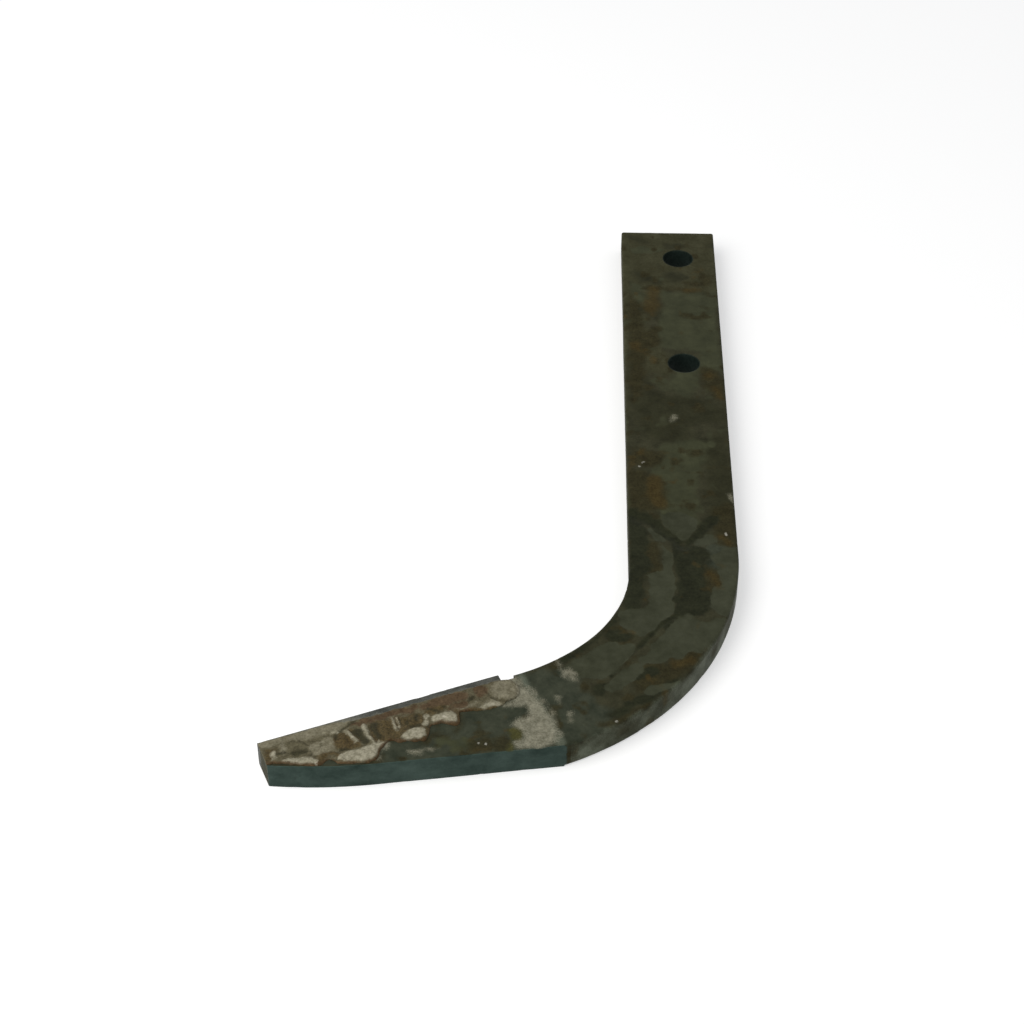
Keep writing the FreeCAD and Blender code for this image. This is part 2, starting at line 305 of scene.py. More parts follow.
@dataclass(frozen=True)
class BarSizes:
    """Sizes of the bar in millimetres and degrees, as the CAD model has them.

    Attributes:
        width: Across the flat bar.
        thickness: Of the flat bar.
        rolled_edge: Rounding of its rolled edges.
        ground_edge: Rounding of the edges that the grinding wheel left.
        hole_radius: Of both bolt holes.
        hole_spacing: From one bolt hole to the other.
        hole_edge_distance: From the holes' centres to the outer edge.
        hole_end_distance: From the upper hole's centre to the sheared end.
        inner_straight: From the sheared end to the bend, along the inner edge.
        outer_straight: The same along the outer edge.
        inner_bend: Radius and turn of the tight part of the inner edge.
        inner_runout: Radius and turn of its easier part, up to the arm.
        outer_bend_radius: Of the outer edge, all the way round.
        shoulder_run: From the start of the arm to the rebate.
        rebate_depth: Floor of the rebate below the inner edge line.
        heel_x: Where the strip begins on the arm.
        tip_x: Where the arm ends.
        tip_depth: Depth of the bar at its tip.
        knee: Where on the arm the straight taper turns into the arc.
        taper_angle: Between the straight taper and the arm.
    """

    width: float = 40.0
    thickness: float = 10.0
    rolled_edge: float = 1.0
    ground_edge: float = 0.25
    hole_radius: float = 6.25
    hole_spacing: float = 76.0
    hole_edge_distance: float = 16.0
    hole_end_distance: float = 20.0
    inner_straight: float = 221.0
    outer_straight: float = 213.0
    inner_bend: Point = (57.5, 42.5)
    inner_runout: Point = (72.5, 24.0)
    outer_bend_radius: float = 108.5
    shoulder_run: float = 1.0
    rebate_depth: float = 1.7
    heel_x: float = 6.0
    tip_x: float = 92.0
    tip_depth: float = 9.6
    knee: Point = (58.5, 22.3)
    taper_angle: float = 14.5

    @property
    def whole_turn(self) -> float:
        """Degrees that the bar turns from shank to arm."""
        return self.inner_bend[1] + self.inner_runout[1]

    @property
    def end_y(self) -> float:
        """Height of the sheared end over the origin."""
        return self.hole_spacing / 2 + self.hole_end_distance


SIZES = BarSizes()


class PlanWalk:
    """Lays points along straights and right-hand bends, each running smoothly into the next."""

    def __init__(self, start: Point) -> None:
        """Begin at a point, heading down the shank."""
        self.places = [np.array(start, float)]
        self.ahead = np.array([0.0, -1.0])

    def straight(self, length: float, steps: int) -> None:
        """Add points along a straight.

        Args:
            length: Millimetres to walk.
            steps: Number of points to add.
        """
        start = self.places[-1]
        for step in range(1, steps + 1):
            self.places.append(start + self.ahead * length * step / steps)

    def bend(self, radius: float, degrees: float, steps: int) -> None:
        """Add points along a right-hand bend.

        Args:
            radius: Of the line that is walked.
            degrees: Turned in all.
            steps: Number of points to add.
        """
        spoke = np.array([-self.ahead[1], self.ahead[0]]) * radius
        centre = self.places[-1] - spoke
        for step in range(1, steps + 1):
            turn = math.radians(-degrees * step / steps)
            swing = np.array([[math.cos(turn), -math.sin(turn)], [math.sin(turn), math.cos(turn)]])
            self.places.append(centre + swing @ spoke)
        self.ahead = swing @ self.ahead

    def points(self) -> np.ndarray:
        """Every point laid so far, as rows."""
        return np.array(self.places)


def arm_origin() -> np.ndarray:
    """Find where the inner edge runs out into the straight arm.

    Returns:
        The place in the plan, in millimetres.
    """
    walk = PlanWalk((SIZES.hole_edge_distance - SIZES.width, SIZES.end_y))
    walk.straight(SIZES.inner_straight, 1)
    walk.bend(*SIZES.inner_bend, 1)
    walk.bend(*SIZES.inner_runout, 1)
    return walk.points()[-1]


@dataclass(frozen=True)
class ArmFrame:
    """Turns places between the arm frame and the plan of the whole blade.

    Attributes:
        origin: Where the inner edge runs out into the arm, in the plan.
        turn: Radians from the plan's +X to the arm's own.
    """

    origin: np.ndarray
    turn: float

    def axes(self) -> np.ndarray:
        """Rows: the arm's own +X and +Y, seen in the plan."""
        cosine, sine = math.cos(self.turn), math.sin(self.turn)
        return np.array([[cosine, sine], [-sine, cosine]])

    def to_plan(self, places: np.ndarray) -> np.ndarray:
        """Arm frame to plan, for rows of two coordinates."""
        return places @ self.axes() + self.origin

    def from_plan(self, places: np.ndarray) -> np.ndarray:
        """Plan to arm frame, for rows of two coordinates."""
        return (places - self.origin) @ self.axes().T


ARM = ArmFrame(arm_origin(), math.radians(270.0 - SIZES.whole_turn))

# Degrees from +X in the plan to the line along which the arm and its strip were ground.
ARM_LAY = 90.0 - SIZES.whole_turn


def outer_depth(along: np.ndarray) -> np.ndarray:
    """Depth of the ground edge: a straight taper to the knee, then a smooth arc to the tip.

    Args:
        along: Places along the arm, in millimetres.

    Returns:
        Depth below the inner edge line at each place.
    """
    knee_x, knee_y = SIZES.knee
    slope = math.radians(SIZES.taper_angle)
    taper = knee_y + (knee_x - along) * math.tan(slope)
    inward = np.array([-math.sin(slope), -math.cos(slope)])
    chord = np.array([SIZES.tip_x - knee_x, SIZES.tip_depth - knee_y])
    radius = chord @ chord / (2 * (chord @ inward))
    centre = np.array(SIZES.knee) + radius * inward
    inside = np.maximum(radius ** 2 - (along - centre[0]) ** 2, 0.0)
    curve = centre[1] + math.copysign(1.0, radius) * np.sqrt(inside)
    return np.where(along < knee_x, taper, curve)


# ---- meshes


@dataclass
class Skin:
    """A closed mesh before Blender gets it.

    Attributes:
        places: Vertices, as rows in millimetres.
        faces: The vertices round each face, by number.
    """

    places: np.ndarray
    faces: list[tuple[int, ...]]

    def joined(self, other: "Skin") -> "Skin":
        """Put another mesh beside this one.

        Args:
            other: The mesh to add, which isn't merged with this one.

        Returns:
            Both as one mesh.
        """
        shift = len(self.places)
        moved = [tuple(corner + shift for corner in face) for face in other.faces]
        return Skin(np.vstack([self.places, other.places]), self.faces + moved)


def loft(rings: np.ndarray, cap_rows: int) -> Skin:
    """Close a stack of rings with quads, and each end with rows that shrink to its middle.

    Args:
        rings: Stations by points round the ring by three coordinates.
        cap_rows: Rows laid across each end.

    Returns:
        The closed mesh.
    """
    shrunk = []
    for ring in (rings[0], rings[-1]):
        middle = ring.mean(0)
        shares = [1.0 - row / cap_rows for row in range(1, cap_rows)]
        shrunk.append(np.array([middle + (ring - middle) * share for share in shares]))
    stack = np.concatenate([shrunk[0][::-1], rings, shrunk[1]])
    stations, around = stack.shape[:2]
    places = np.vstack([stack.reshape(-1, 3), rings[0].mean(0), rings[-1].mean(0)])
    faces = []
    for station in range(stations - 1):
        low, high = station * around, (station + 1) * around
        for point in range(around):
            beside = (point + 1) % around
            faces.append((low + point, low + beside, high + beside, high + point))
    first, last = stations * around, stations * around + 1
    end = (stations - 1) * around
    for point in range(around):
        beside = (point + 1) % around
        faces.append((first, beside, point))
        faces.append((last, end + point, end + beside))
    return Skin(places, faces)


def make_object(name: str, skin: Skin, crease: float = 40.0) -> bpy.types.Object:
    """Put a mesh into the scene, smooth but for its sharp edges.

    Args:
        name: Name of the object.
        skin: Its mesh in millimetres.
        crease: Degrees between two faces over which their edge stays sharp.

    Returns:
        The new object, with its origin at the frame's origin.
    """
    mesh = bpy.data.meshes.new(name)
    mesh.from_pydata((skin.places * MM).tolist(), [], skin.faces)
    shell = bmesh.new()
    shell.from_mesh(mesh)
    bmesh.ops.recalc_face_normals(shell, faces=shell.faces)
    shell.to_mesh(mesh)
    shell.free()
    mesh.shade_smooth()
    mesh.set_sharp_from_angle(angle=math.radians(crease))
    thing = bpy.data.objects.new(name, mesh)
    bpy.context.scene.collection.objects.link(thing)
    return thing


def places_of(thing: bpy.types.Object) -> np.ndarray:
    """Read the vertices of a mesh object.

    Args:
        thing: The mesh object.

    Returns:
        Rows of three coordinates.
    """
    flat = np.zeros(len(thing.data.vertices) * 3)
    thing.data.vertices.foreach_get("co", flat)
    return flat.reshape(-1, 3) / MM


def store(thing: bpy.types.Object, coat: "Coat", depths: np.ndarray) -> None:
    """Keep a coat's depth at each vertex, for the material to read.

    Args:
        thing: The mesh object.
        coat: The coat that the numbers belong to.
        depths: Millimetres inside the coat's border, one for each vertex.
    """
    layer = thing.data.attributes.new(coat.value, "FLOAT", "POINT")
    layer.data.foreach_set("value", np.clip(depths, -Mark.REACH, Mark.REACH).astype(np.float32))


class Coat(Enum):
    """What can lie over the bare ground of a piece, by the attribute that says where."""

    # dark scale, and painted shade in the V's dents, along the crease and along the inner edge
    SCALE_AND_CREASE_SHADE = "thick_scale_and_painted_crease_shade"
    FLAKED = "flaked_steel"
    GREY = "blued_grey"
    BROWN = "brown_rust"
    ORANGE = "orange_rust"
    OLIVE = "olive_stain"
    FILM = "flux_film"
    SPECK = "white_speck"
    GROUND = "ground_face"
    # painted shade on the bolt holes' walls and a thin ring round them
    BORE_SHADE = "painted_bore_shade"
    GOLD = "browned_flux"
    # painted shade in hollows and cracks of the crust, and on the strip's wearing edge and heel end
    HOLLOW_SHADE = "painted_hollow_shade"
    BAND = "rust_band"
    RIM = "brown_rim"
    DRAB = "drab_skin"
    DULL = "dull_skin"
    PANEL = "bare_panel"
    # painted light on the bend's outer side and across the heel
    LIT_SIDE = "painted_lit_side"
    PALE = "pale_crust"


@dataclass(frozen=True)
class Spread:
    """Where a coat lies: listed marks with a wandering border, and a thin scatter.

    Attributes:
        marks: The listed marks.
        wander: Millimetres that the border strays.
        grain: Random field that bends the border.
        scatter: Random field whose highest lumps carry the coat too, or None.
        threshold: How high a lump of the scatter has to be, from -1 to 1.
    """

    marks: tuple[Mark, ...]
    wander: float
    grain: Grain
    scatter: Grain | None = None
    threshold: float = 0.7

    def depth(self, places: np.ndarray, marked: np.ndarray) -> np.ndarray:
        """How deep inside the coat each vertex lies.

        Args:
            places: Rows of three coordinates.
            marked: From 0 to 1, how much each vertex belongs to the face with the marks.

        Returns:
            Millimetres inside the coat's border.
        """
        depths = deepest(self.marks, places[:, :2]) - 2 * Mark.REACH * (1.0 - marked)
        if self.scatter:
            lumps = (self.scatter.at(places) - self.threshold) * self.scatter.size
            depths = np.maximum(depths, lumps)
        return depths + self.wander * self.grain.at(places)


@dataclass(frozen=True)
class Relief:
    """A swelling with soft sides, or a hollow where its height is negative.

    Attributes:
        mark: Where it is.
        height: Millimetres over the surface round it.
        slope: Millimetres over which it rises, half outside and half inside the mark's border.
    """

    mark: Mark
    height: float
    slope: float

    def at(self, places: np.ndarray) -> np.ndarray:
        """Height that it adds at each place, for rows of two coordinates."""
        return self.height * ease(self.mark.depth(places), -self.slope / 2, self.slope / 2)


# ---- finishes


def linear(code: str) -> tuple[float, float, float, float]:
    """Turn an sRGB hex value to a linear colour.

    Args:
        code: Such as #3B4943.

    Returns:
        Linear red, green and blue, with full alpha.
    """
    channels = [int(code[start:start + 2], 16) / 255 for start in (1, 3, 5)]
    low = [channel / 12.92 for channel in channels]
    high = [((channel + 0.055) / 1.055) ** 2.4 for channel in channels]
    red, green, blue = (a if c <= 0.04045 else b for a, b, c in zip(low, high, channels))
    return red, green, blue, 1.0


def add_node(
    tree: bpy.types.NodeTree,
    kind: str,
    settings: dict[str | int, object] | None = None,
    links: dict[str | int, bpy.types.NodeSocket] | None = None,
) -> bpy.types.Node:
    """Add a node with its settings and links.

    Args:
        tree: Node tree that gets the node.
        kind: Blender's name for the type of node.
        settings: Values by the name of a property, or by the name or number of an input.
        links: Sockets to read from, by the name or number of the input that they feed.

    Returns:
        The new node.
    """
    node = tree.nodes.new(kind)
    for name, value in (settings or {}).items():
        if isinstance(name, int) or name in node.inputs:
            node.inputs[name].default_value = value
        else:
            setattr(node, name, value)
    for name, socket in (links or {}).items():
        tree.links.new(socket, node.inputs[name])
    return node


@dataclass(frozen=True)
class Layer:
    """One coat of a finish and how it looks where it lies.

    Attributes:
        coat: Which coat, or None for the ground that lies under the others.
        dark: Its darker shade, as an sRGB hex value.
        light: Its lighter shade.
        mottle: Millimetres from one blotch of shade to the next.
        metallic: From 0 to 1.
        roughness: From 0 to 1.
        grit: Millimetres from one grain to the next.
        grit_height: Millimetres that the grains stand up.
        border: Millimetres over which the coat fades out.
        crumble: Millimetres that fine grain breaks up its border.
        cover: How much it hides what lies under it, from 0 to 1.
        drag: How many times longer than wide its blotches are.
        lay: Degrees from +X in the plan along which they run.
        pepper: Share of the fine grain in its shade, the rest being blotches.
    """

    coat: Coat | None
    dark: str
    light: str
    mottle: float
    metallic: float = 0.0
    roughness: float = 0.8
    grit: float = 0.8
    grit_height: float = 0.1
    border: float = 0.3
    crumble: float = 0.5
    cover: float = 1.0
    drag: float = 1.0
    lay: float = 0.0
    pepper: float = 0.3


@dataclass(frozen=True)
class Finish:
    """A real surface, built up in coats from the ground outwards.

    Attributes:
        name: Name of the material, after the real one.
        gloss: Specular level, which is low where a skin is porous and drinks up light.
        layers: The ground first, then each coat over the ones before it.
    """

    name: str
    gloss: float
    layers: tuple[Layer, ...]

    CRUMB = 0.45  # millimetres between the crumbs that break up a border
    FALL = 0.62  # how strong each finer size of blotch is beside the one before it
    SHADES = (0.34, 0.66)  # noise at which the darker and the lighter shade are reached
    STRAY = 0.08  # how far the roughness strays either way

    def noise(self, tree: bpy.types.NodeTree, places: bpy.types.NodeSocket, size: float,
              detail: float) -> bpy.types.NodeSocket:
        """Random blotches, from 0 to 1.

        Args:
            tree: The material's nodes.
            places: Coordinates in metres.
            size: Millimetres from one blotch to the next.
            detail: How many finer sizes are laid over that one.

        Returns:
            The socket that gives the value.
        """
        blotches = add_node(tree, "ShaderNodeTexNoise",
                            {"Scale": 1.0 / (size * MM), "Detail": detail, "Roughness": self.FALL},
                            {"Vector": places})
        return blotches.outputs[0]

    def blend(self, tree: bpy.types.NodeTree, under: bpy.types.NodeSocket,
              over: bpy.types.NodeSocket, cover: bpy.types.NodeSocket) -> bpy.types.NodeSocket:
        """Lay one colour or number over another.

        Args:
            tree: The material's nodes.
            under: The colour or number that is there.
            over: What is laid over it, of the same kind.
            cover: How much it hides, from 0 to 1.

        Returns:
            The socket that gives the two blended.
        """
        if under.type == "RGBA":
            mix = add_node(tree, "ShaderNodeMix", {"data_type": "RGBA"},
                           {0: cover, 6: under, 7: over})
            return mix.outputs[2]
        mix = add_node(tree, "ShaderNodeMix", {"data_type": "FLOAT"}, {0: cover, 2: under, 3: over})
        return mix.outputs[0]

    def number(self, tree: bpy.types.NodeTree, value: float) -> bpy.types.NodeSocket:
        """A socket that gives a fixed number, to be laid over another."""
        return add_node(tree, "ShaderNodeMath", {"operation": "ADD", 0: value, 1: 0.0}).outputs[0]

    def build(self) -> bpy.types.Material:
        """Make the material.

        Returns:
            A material whose colour, gloss and bump follow the coats on the mesh.
        """
        material = bpy.data.materials.new(self.name)
        material.use_nodes = True
        tree = material.node_tree
        tree.nodes.clear()
        place = add_node(tree, "ShaderNodeTexCoord").outputs["Object"]
        crumb = self.noise(tree, place, self.CRUMB, 2.0)
        colour = rough = metal = height = None
        even_metal = len({layer.metallic for layer in self.layers}) == 1
        for layer in self.layers:
            laid = place
            if layer.drag != 1.0:
                turned = add_node(tree, "ShaderNodeVectorRotate",
                                  {"rotation_type": "Z_AXIS", "Angle": math.radians(-layer.lay)},
                                  {"Vector": place})
                laid = add_node(tree, "ShaderNodeVectorMath",
                                {"operation": "MULTIPLY", 1: (1.0 / layer.drag, 1.0, 1.0)},
                                {0: turned.outputs[0]}).outputs[0]
            blotch = self.noise(tree, laid, layer.mottle, 4.0)
            grains = self.noise(tree, place, layer.grit, 3.0)
            speckled = add_node(tree, "ShaderNodeMix", {"data_type": "FLOAT", 0: layer.pepper},
                                {2: blotch, 3: grains}).outputs[0]
            shade = add_node(tree, "ShaderNodeMapRange",
                             {"From Min": self.SHADES[0], "From Max": self.SHADES[1]},
                             {"Value": speckled}).outputs[0]
            own_colour = add_node(tree, "ShaderNodeMix",
                                  {"data_type": "RGBA", 6: linear(layer.dark), 7: linear(layer.light)},
                                  {0: shade}).outputs[2]
            own_height = add_node(tree, "ShaderNodeMath",
                                  {"operation": "MULTIPLY", 1: layer.grit_height},
                                  {0: grains}).outputs[0]
            own_rough = add_node(tree, "ShaderNodeMapRange",
                                 {"To Min": layer.roughness + self.STRAY,
                                  "To Max": layer.roughness - self.STRAY},
                                 {"Value": blotch}).outputs[0]
            if colour is None:
                colour, rough, height = own_colour, own_rough, own_height
                metal = None if even_metal else self.number(tree, layer.metallic)
                continue
            depth = add_node(tree, "ShaderNodeAttribute", {"attribute_name": layer.coat.value})
            strayed = add_node(tree, "ShaderNodeMath",
                               {"operation": "MULTIPLY_ADD", 1: 2.0 * layer.crumble},
                               {0: crumb, 2: depth.outputs["Fac"]}).outputs[0]
            cover = add_node(tree, "ShaderNodeMapRange",
                             {"interpolation_type": "SMOOTHSTEP",
                              "From Min": layer.crumble - layer.border,
                              "From Max": layer.crumble + layer.border,
                              "To Max": layer.cover},
                             {"Value": strayed}).outputs[0]
            colour = self.blend(tree, colour, own_colour, cover)
            rough = self.blend(tree, rough, own_rough, cover)
            height = self.blend(tree, height, own_height, cover)
            if not even_metal:
                metal = self.blend(tree, metal, self.number(tree, layer.metallic), cover)
        bump = add_node(tree, "ShaderNodeBump", {"Strength": 1.0, "Distance": MM}, {"Height": height})
        links = {"Base Color": colour, "Roughness": rough, "Normal": bump.outputs[0]}
        settings: dict[str | int, object] = {"Specular IOR Level": self.gloss}
        if even_metal:
            settings["Metallic"] = self.layers[0].metallic
        else:
            links["Metallic"] = metal
        shader = add_node(tree, "ShaderNodeBsdfPrincipled", settings, links)
        add_node(tree, "ShaderNodeOutputMaterial", links={"Surface": shader.outputs[0]})
        return material


# Hot-rolled bar under mill scale: a thin skin of iron oxide, grey-black and half metallic.  The
# eye gets a dull, broken sheen: dark olive where the scale is whole, a lighter grey-green where
# it has flaked off, and rust in every shade of brown where damp has been at it.  The real grain,
# about 0.1 mm, is too fine to show, so it is drawn near 1 mm.
ROLLED_STEEL = Finish("mill_scaled_steel", 0.05, (
    Layer(None, "#27271A", "#3D3C2A", mottle=6.0, metallic=0.2, roughness=0.65, grit=0.9,
          grit_height=0.05, pepper=0.4),
    Layer(Coat.DRAB, "#302F1D", "#454430", mottle=7.0, metallic=0.15, roughness=0.7, grit=1.1,
          grit_height=0.04, border=2.6, crumble=1.6, pepper=0.4),
    Layer(Coat.DULL, "#232315", "#333321", mottle=6.0, metallic=0.2, roughness=0.65, grit=1.0,
          grit_height=0.04, border=3.0, crumble=1.6, pepper=0.35),
    Layer(Coat.GREY, "#2A2F24", "#414436", mottle=6.0, metallic=0.25, roughness=0.6, grit=1.2,
          grit_height=0.03, border=1.8, crumble=1.2, cover=0.92, pepper=0.25),
    Layer(Coat.PANEL, "#333524", "#41432E", mottle=7.0, metallic=0.25, roughness=0.6, grit=1.3,
          grit_height=0.03, border=1.6, crumble=1.1, cover=0.95, pepper=0.2),
    Layer(Coat.BROWN, "#211E10", "#3B3722", mottle=3.4, grit_height=0.08, border=1.8, crumble=1.8,
          cover=0.85, pepper=0.55),
    # Dark scale, and painted shade in the V's dents, along the crease and along the inner edge.
    Layer(Coat.SCALE_AND_CREASE_SHADE, "#1B1D11", "#2B2D1D", mottle=4.0, metallic=0.25, roughness=0.6, grit=1.0,
          grit_height=0.03, border=1.1, crumble=0.9, pepper=0.3),
    Layer(Coat.FLAKED, "#313324", "#404232", mottle=6.0, metallic=0.28, roughness=0.57, grit=1.3,
          grit_height=0.03, border=0.45, crumble=0.6, pepper=0.25),
    Layer(Coat.ORANGE, "#362B14", "#4F4223", mottle=2.2, roughness=0.85, grit_height=0.07, border=1.8,
          crumble=1.7, cover=0.6, pepper=0.5),
    # Painted light: a paler coat on the bend's outer side and across the heel.
    Layer(Coat.LIT_SIDE, "#464B3D", "#686D5D", mottle=7.0, metallic=0.3, roughness=0.55, grit=0.9,
          grit_height=0.03, border=1.4, crumble=0.9, cover=0.92, pepper=0.25),
    Layer(Coat.GROUND, "#26342E", "#44534C", mottle=9.0, metallic=0.35, roughness=0.5,
          grit_height=0.02, border=0.4, crumble=0.3, drag=1.6, lay=ARM_LAY, pepper=0.15),
    Layer(Coat.OLIVE, "#36351A", "#504D28", mottle=1.8, grit=0.7, grit_height=0.06, border=1.2,
          crumble=1.2, cover=0.85, pepper=0.4),
    Layer(Coat.FILM, "#5A5847", "#98947F", mottle=2.6, roughness=0.88, grit=0.9, grit_height=0.08,
          border=1.6, crumble=1.7, cover=0.9, pepper=0.45),
    Layer(Coat.SPECK, "#8C897C", "#A8A598", mottle=0.6, roughness=0.7, grit=0.4, grit_height=0.08,
          border=0.25, crumble=0.2, cover=0.9),
    # Painted shade: dark walls of the bolt holes and a thin ring round them.
    Layer(Coat.BORE_SHADE, "#121C18", "#26302B", mottle=4.0, metallic=0.2, roughness=0.55, grit=0.7,
          grit_height=0.05, border=0.35, crumble=0.2),
))

# Cemented carbide as sintered, rubbed by grinding along its length: a plain grey with a fine,
# dry grain, drawn far coarser than its few microns to show, under a dusting of pale flux on the
# faces next to the braze.
CEMENTED_CARBIDE = Finish("cemented_carbide", 0.15, (
    Layer(None, "#33352F", "#585952", mottle=3.4, metallic=0.35, roughness=0.6, grit=0.7,
          grit_height=0.05, drag=1.6, lay=ARM_LAY, pepper=0.45),
    # Painted shade along the wearing edge and at the heel end.
    Layer(Coat.HOLLOW_SHADE, "#25261F", "#44453C", mottle=1.6, metallic=0.3, roughness=0.6, grit=0.6,
          grit_height=0.06, border=0.6, crumble=0.9, cover=0.8, pepper=0.4),
    Layer(Coat.FILM, "#55544A", "#7E7C6D", mottle=2.6, roughness=0.85, grit=0.7, grit_height=0.08,
          border=1.1, crumble=1.3, cover=0.85, pepper=0.5),
))

# Braze filler frozen under its flux: a glassy crust of borate that dries to a powdery cream,
# browned and cracked where it got hottest, with the filler's brass showing at the rims.  Its
# powder, 0.1 mm at most, is drawn as grit of 0.6 to 0.8 mm to show.
DRIED_FLUX = Finish("dried_flux_over_braze", 0.15, (
    Layer(None, "#3B3624", "#67614A", mottle=2.2, grit_height=0.12, pepper=0.5),
    Layer(Coat.PALE, "#595440", "#87816B", mottle=2.0, border=0.9, crumble=1.0, cover=0.95, pepper=0.5),
    Layer(Coat.BAND, "#3A2C1B", "#5C4A34", mottle=2.2, border=0.9, crumble=1.2, cover=0.9, pepper=0.45),
    Layer(Coat.GOLD, "#2B230D", "#564829", mottle=1.4, metallic=0.05, roughness=0.6, grit=0.7,
          grit_height=0.14, border=0.7, crumble=0.9, cover=0.9, pepper=0.5),
    # Painted shade in the cracks and hollows between the ribs.
    Layer(Coat.HOLLOW_SHADE, "#1D1B0C", "#34311B", mottle=1.2, metallic=0.05, roughness=0.6, grit=0.6,
          border=0.6, crumble=0.7, cover=0.92, pepper=0.4),
    Layer(Coat.FILM, "#726D58", "#A39D87", mottle=1.6, roughness=0.72, border=0.6, crumble=0.7,
          pepper=0.4),
    Layer(Coat.RIM, "#32240F", "#59442A", mottle=1.1, metallic=0.1, roughness=0.55, grit=0.7,
          grit_height=0.08, border=0.6, crumble=0.7, cover=0.9, pepper=0.4),
    Layer(Coat.SPECK, "#A39C88", "#C2BBA6", mottle=0.6, roughness=0.65, grit=0.4, border=0.3,
          crumble=0.3),
))


# ---- what lies on the bar's top
#
# Outlines and middle lines are points given in plan millimetres, or in the arm frame
# where on_arm turns them.


def on_arm(points: tuple[Point, ...]) -> tuple[Point, ...]:
    """Turn places in the arm frame to places in the plan."""
    return tuple(map(tuple, ARM.to_plan(np.array(points, float))))


# Whole dark scale on the patch below the hammered V and in spots, with painted shade in the V's
# dents, along the crease across the bend to the heel and along the skin of the inner edge.
SCALE_AND_CREASE_SHADE = (
    Streak(((-22, -133), (-15, -138), (-10, -144), (-4, -151)), 5.5),
    Streak(((-4, -151), (1, -146), (4, -141), (8, -135)), 4.5),
    Patch(((-9, -150), (-4, -149), (2, -152), (6, -156), (4, -163), (3, -172), (5, -180), (3, -187),
           (-3, -189), (-9, -191), (-8, -180), (-7, -170), (-7, -160))),
    Streak(((-8, -189), (-13, -193), (-16, -198), (-20, -204), (-25, -211), (-31, -219)), 1.5),
    Patch(((-24, -136), (-19, -138), (-17, -147), (-18, -155), (-16, -163), (-19, -172), (-19, -181),
           (-22, -186), (-26, -184), (-25, -168), (-24, -150))),
    Patch(((-13, -193), (-8, -191), (-5, -193), (-7, -195), (-9, -200), (-11, -197))),
    Patch(((-37, -225), (-33, -224), (-33, -229), (-36, -229))),
    Streak(((-31, -239), (-24, -233), (-16, -228), (-9, -222)), 4.0),
    Streak(((-28, -223), (-23, -219), (-17, -217)), 3.5),
    Patch(((-32, -196), (-26, -197), (-23, -199), (-24, -202), (-29, -203), (-33, -200))),
    Streak(((-48, -213), (-40, -206), (-33, -197), (-28, -188)), 1.6),
)

# The drab, dusty skin of the upper shank.
DRAB_SKIN = (
    Patch(((-25, 60), (17, 60), (17, 12), (4, 13), (-8, 12), (-14, -4), (-9, -26), (-6, -33), (-6, -46),
           (-16, -44), (-25, -30))),
)

# Darker, duller scale across the shank and down its outer edge.
DULL_SKIN = (
    Patch(((-20, -56), (-8, -58), (6, -62), (15, -68), (15, -76), (4, -78), (0, -90), (-14, -88),
           (-20, -76))),
    Patch(((5, -92), (14, -84), (16, -110), (16, -134), (9, -136), (6, -120))),
    Streak(((-19, -28), (-18.5, -36), (-19, -50)), 4.0),
    Streak(((-18.5, 2), (-18.5, -6), (-19.5, -12)), 3.0),
    Streak(((-18, 26), (-16, 22)), 3.0),
    Streak(((-20, 54), (-15, 51)), 2.5),
)

# Soft light panels between the bolt holes, below them and down to the V.
BARE_PANEL = (
    Patch(((-8, 13), (1, 12), (10, 13), (15, 12), (15, -8), (15, -30), (9, -31), (2, -28), (-7, -27),
           (-10, -22), (-9, -10), (-7, 2))),
    Patch(((-20, 18), (-16, 16), (-15, 8), (-18, 3), (-20, 8))),
    Patch(((7, -29), (15, -30), (15, -42), (8, -41))),
    Patch(((-5, -46), (4, -45), (5, -55), (0, -60), (-6, -56))),
    Patch(((-10, -92), (4, -88), (7, -98), (3, -112), (2, -134), (-4, -146), (-12, -136), (-11, -114),
           (-15, -107), (-10, -100))),
)

# Bare steel where the scale sprang off as the bar was bent, with sharp borders.
FLAKED = (
    Patch(((-12, -134), (-6, -132), (0, -134), (1, -140), (-4, -147), (-8, -144))),
    Patch(((-16, -141), (-14, -143), (-11, -147), (-12, -149), (-15, -147))),
    Patch(((1, -147), (5, -144), (8, -145), (8, -149), (3, -151), (0, -150))),
    Patch(((-12, -151), (-9, -154), (-8, -162), (-7.5, -170), (-8, -178), (-9, -186), (-12, -191),
           (-15, -196), (-19, -200), (-24, -198), (-27, -194), (-28, -188), (-23, -186),
           (-18, -183), (-17, -177), (-17, -168), (-12, -165), (-11, -158))),
    Patch(((9, -154), (15, -152), (15.5, -165), (14.5, -176), (11, -187), (7, -187), (4, -181),
           (5, -175), (10, -172), (8, -165), (6, -158))),
    Patch(((-9, -192), (-4, -188), (2, -191), (9, -190), (9, -197), (5, -204), (-1, -207), (-7, -210),
           (-12, -212), (-17, -213), (-21, -212), (-17, -205), (-13, -199))),
    Patch(((-23, -205), (-31, -203), (-38, -207), (-43, -212), (-48, -216), (-41, -221), (-33, -221),
           (-28, -215))),
    Patch(((-27, -217), (-22, -213), (-19, -214), (-22, -220), (-29, -226), (-33, -226))),
    Patch(((-20, -226), (-12, -223), (-7, -222), (-12, -226), (-19, -229))),
)

# Steel greyed by the heat of brazing: the heel, the arm and a patch outside the bend.
BLUED_GREY = (
    Patch(((-64, -220), (-56, -219), (-48, -216), (-42, -222), (-38, -230), (-30, -238), (-32, -246),
           (-42, -252), (-50, -256), (-54, -262), (-64, -264), (-64, -240))),
    Patch(on_arm(((8, 12), (20, 10), (26, 9), (40, 12), (60, 14), (92, 6), (95, 12), (60, 24),
                  (20, 35), (2, 40), (2, 26)))),
    Patch(((4, -153), (16, -151), (16, -178), (6, -180))),
)

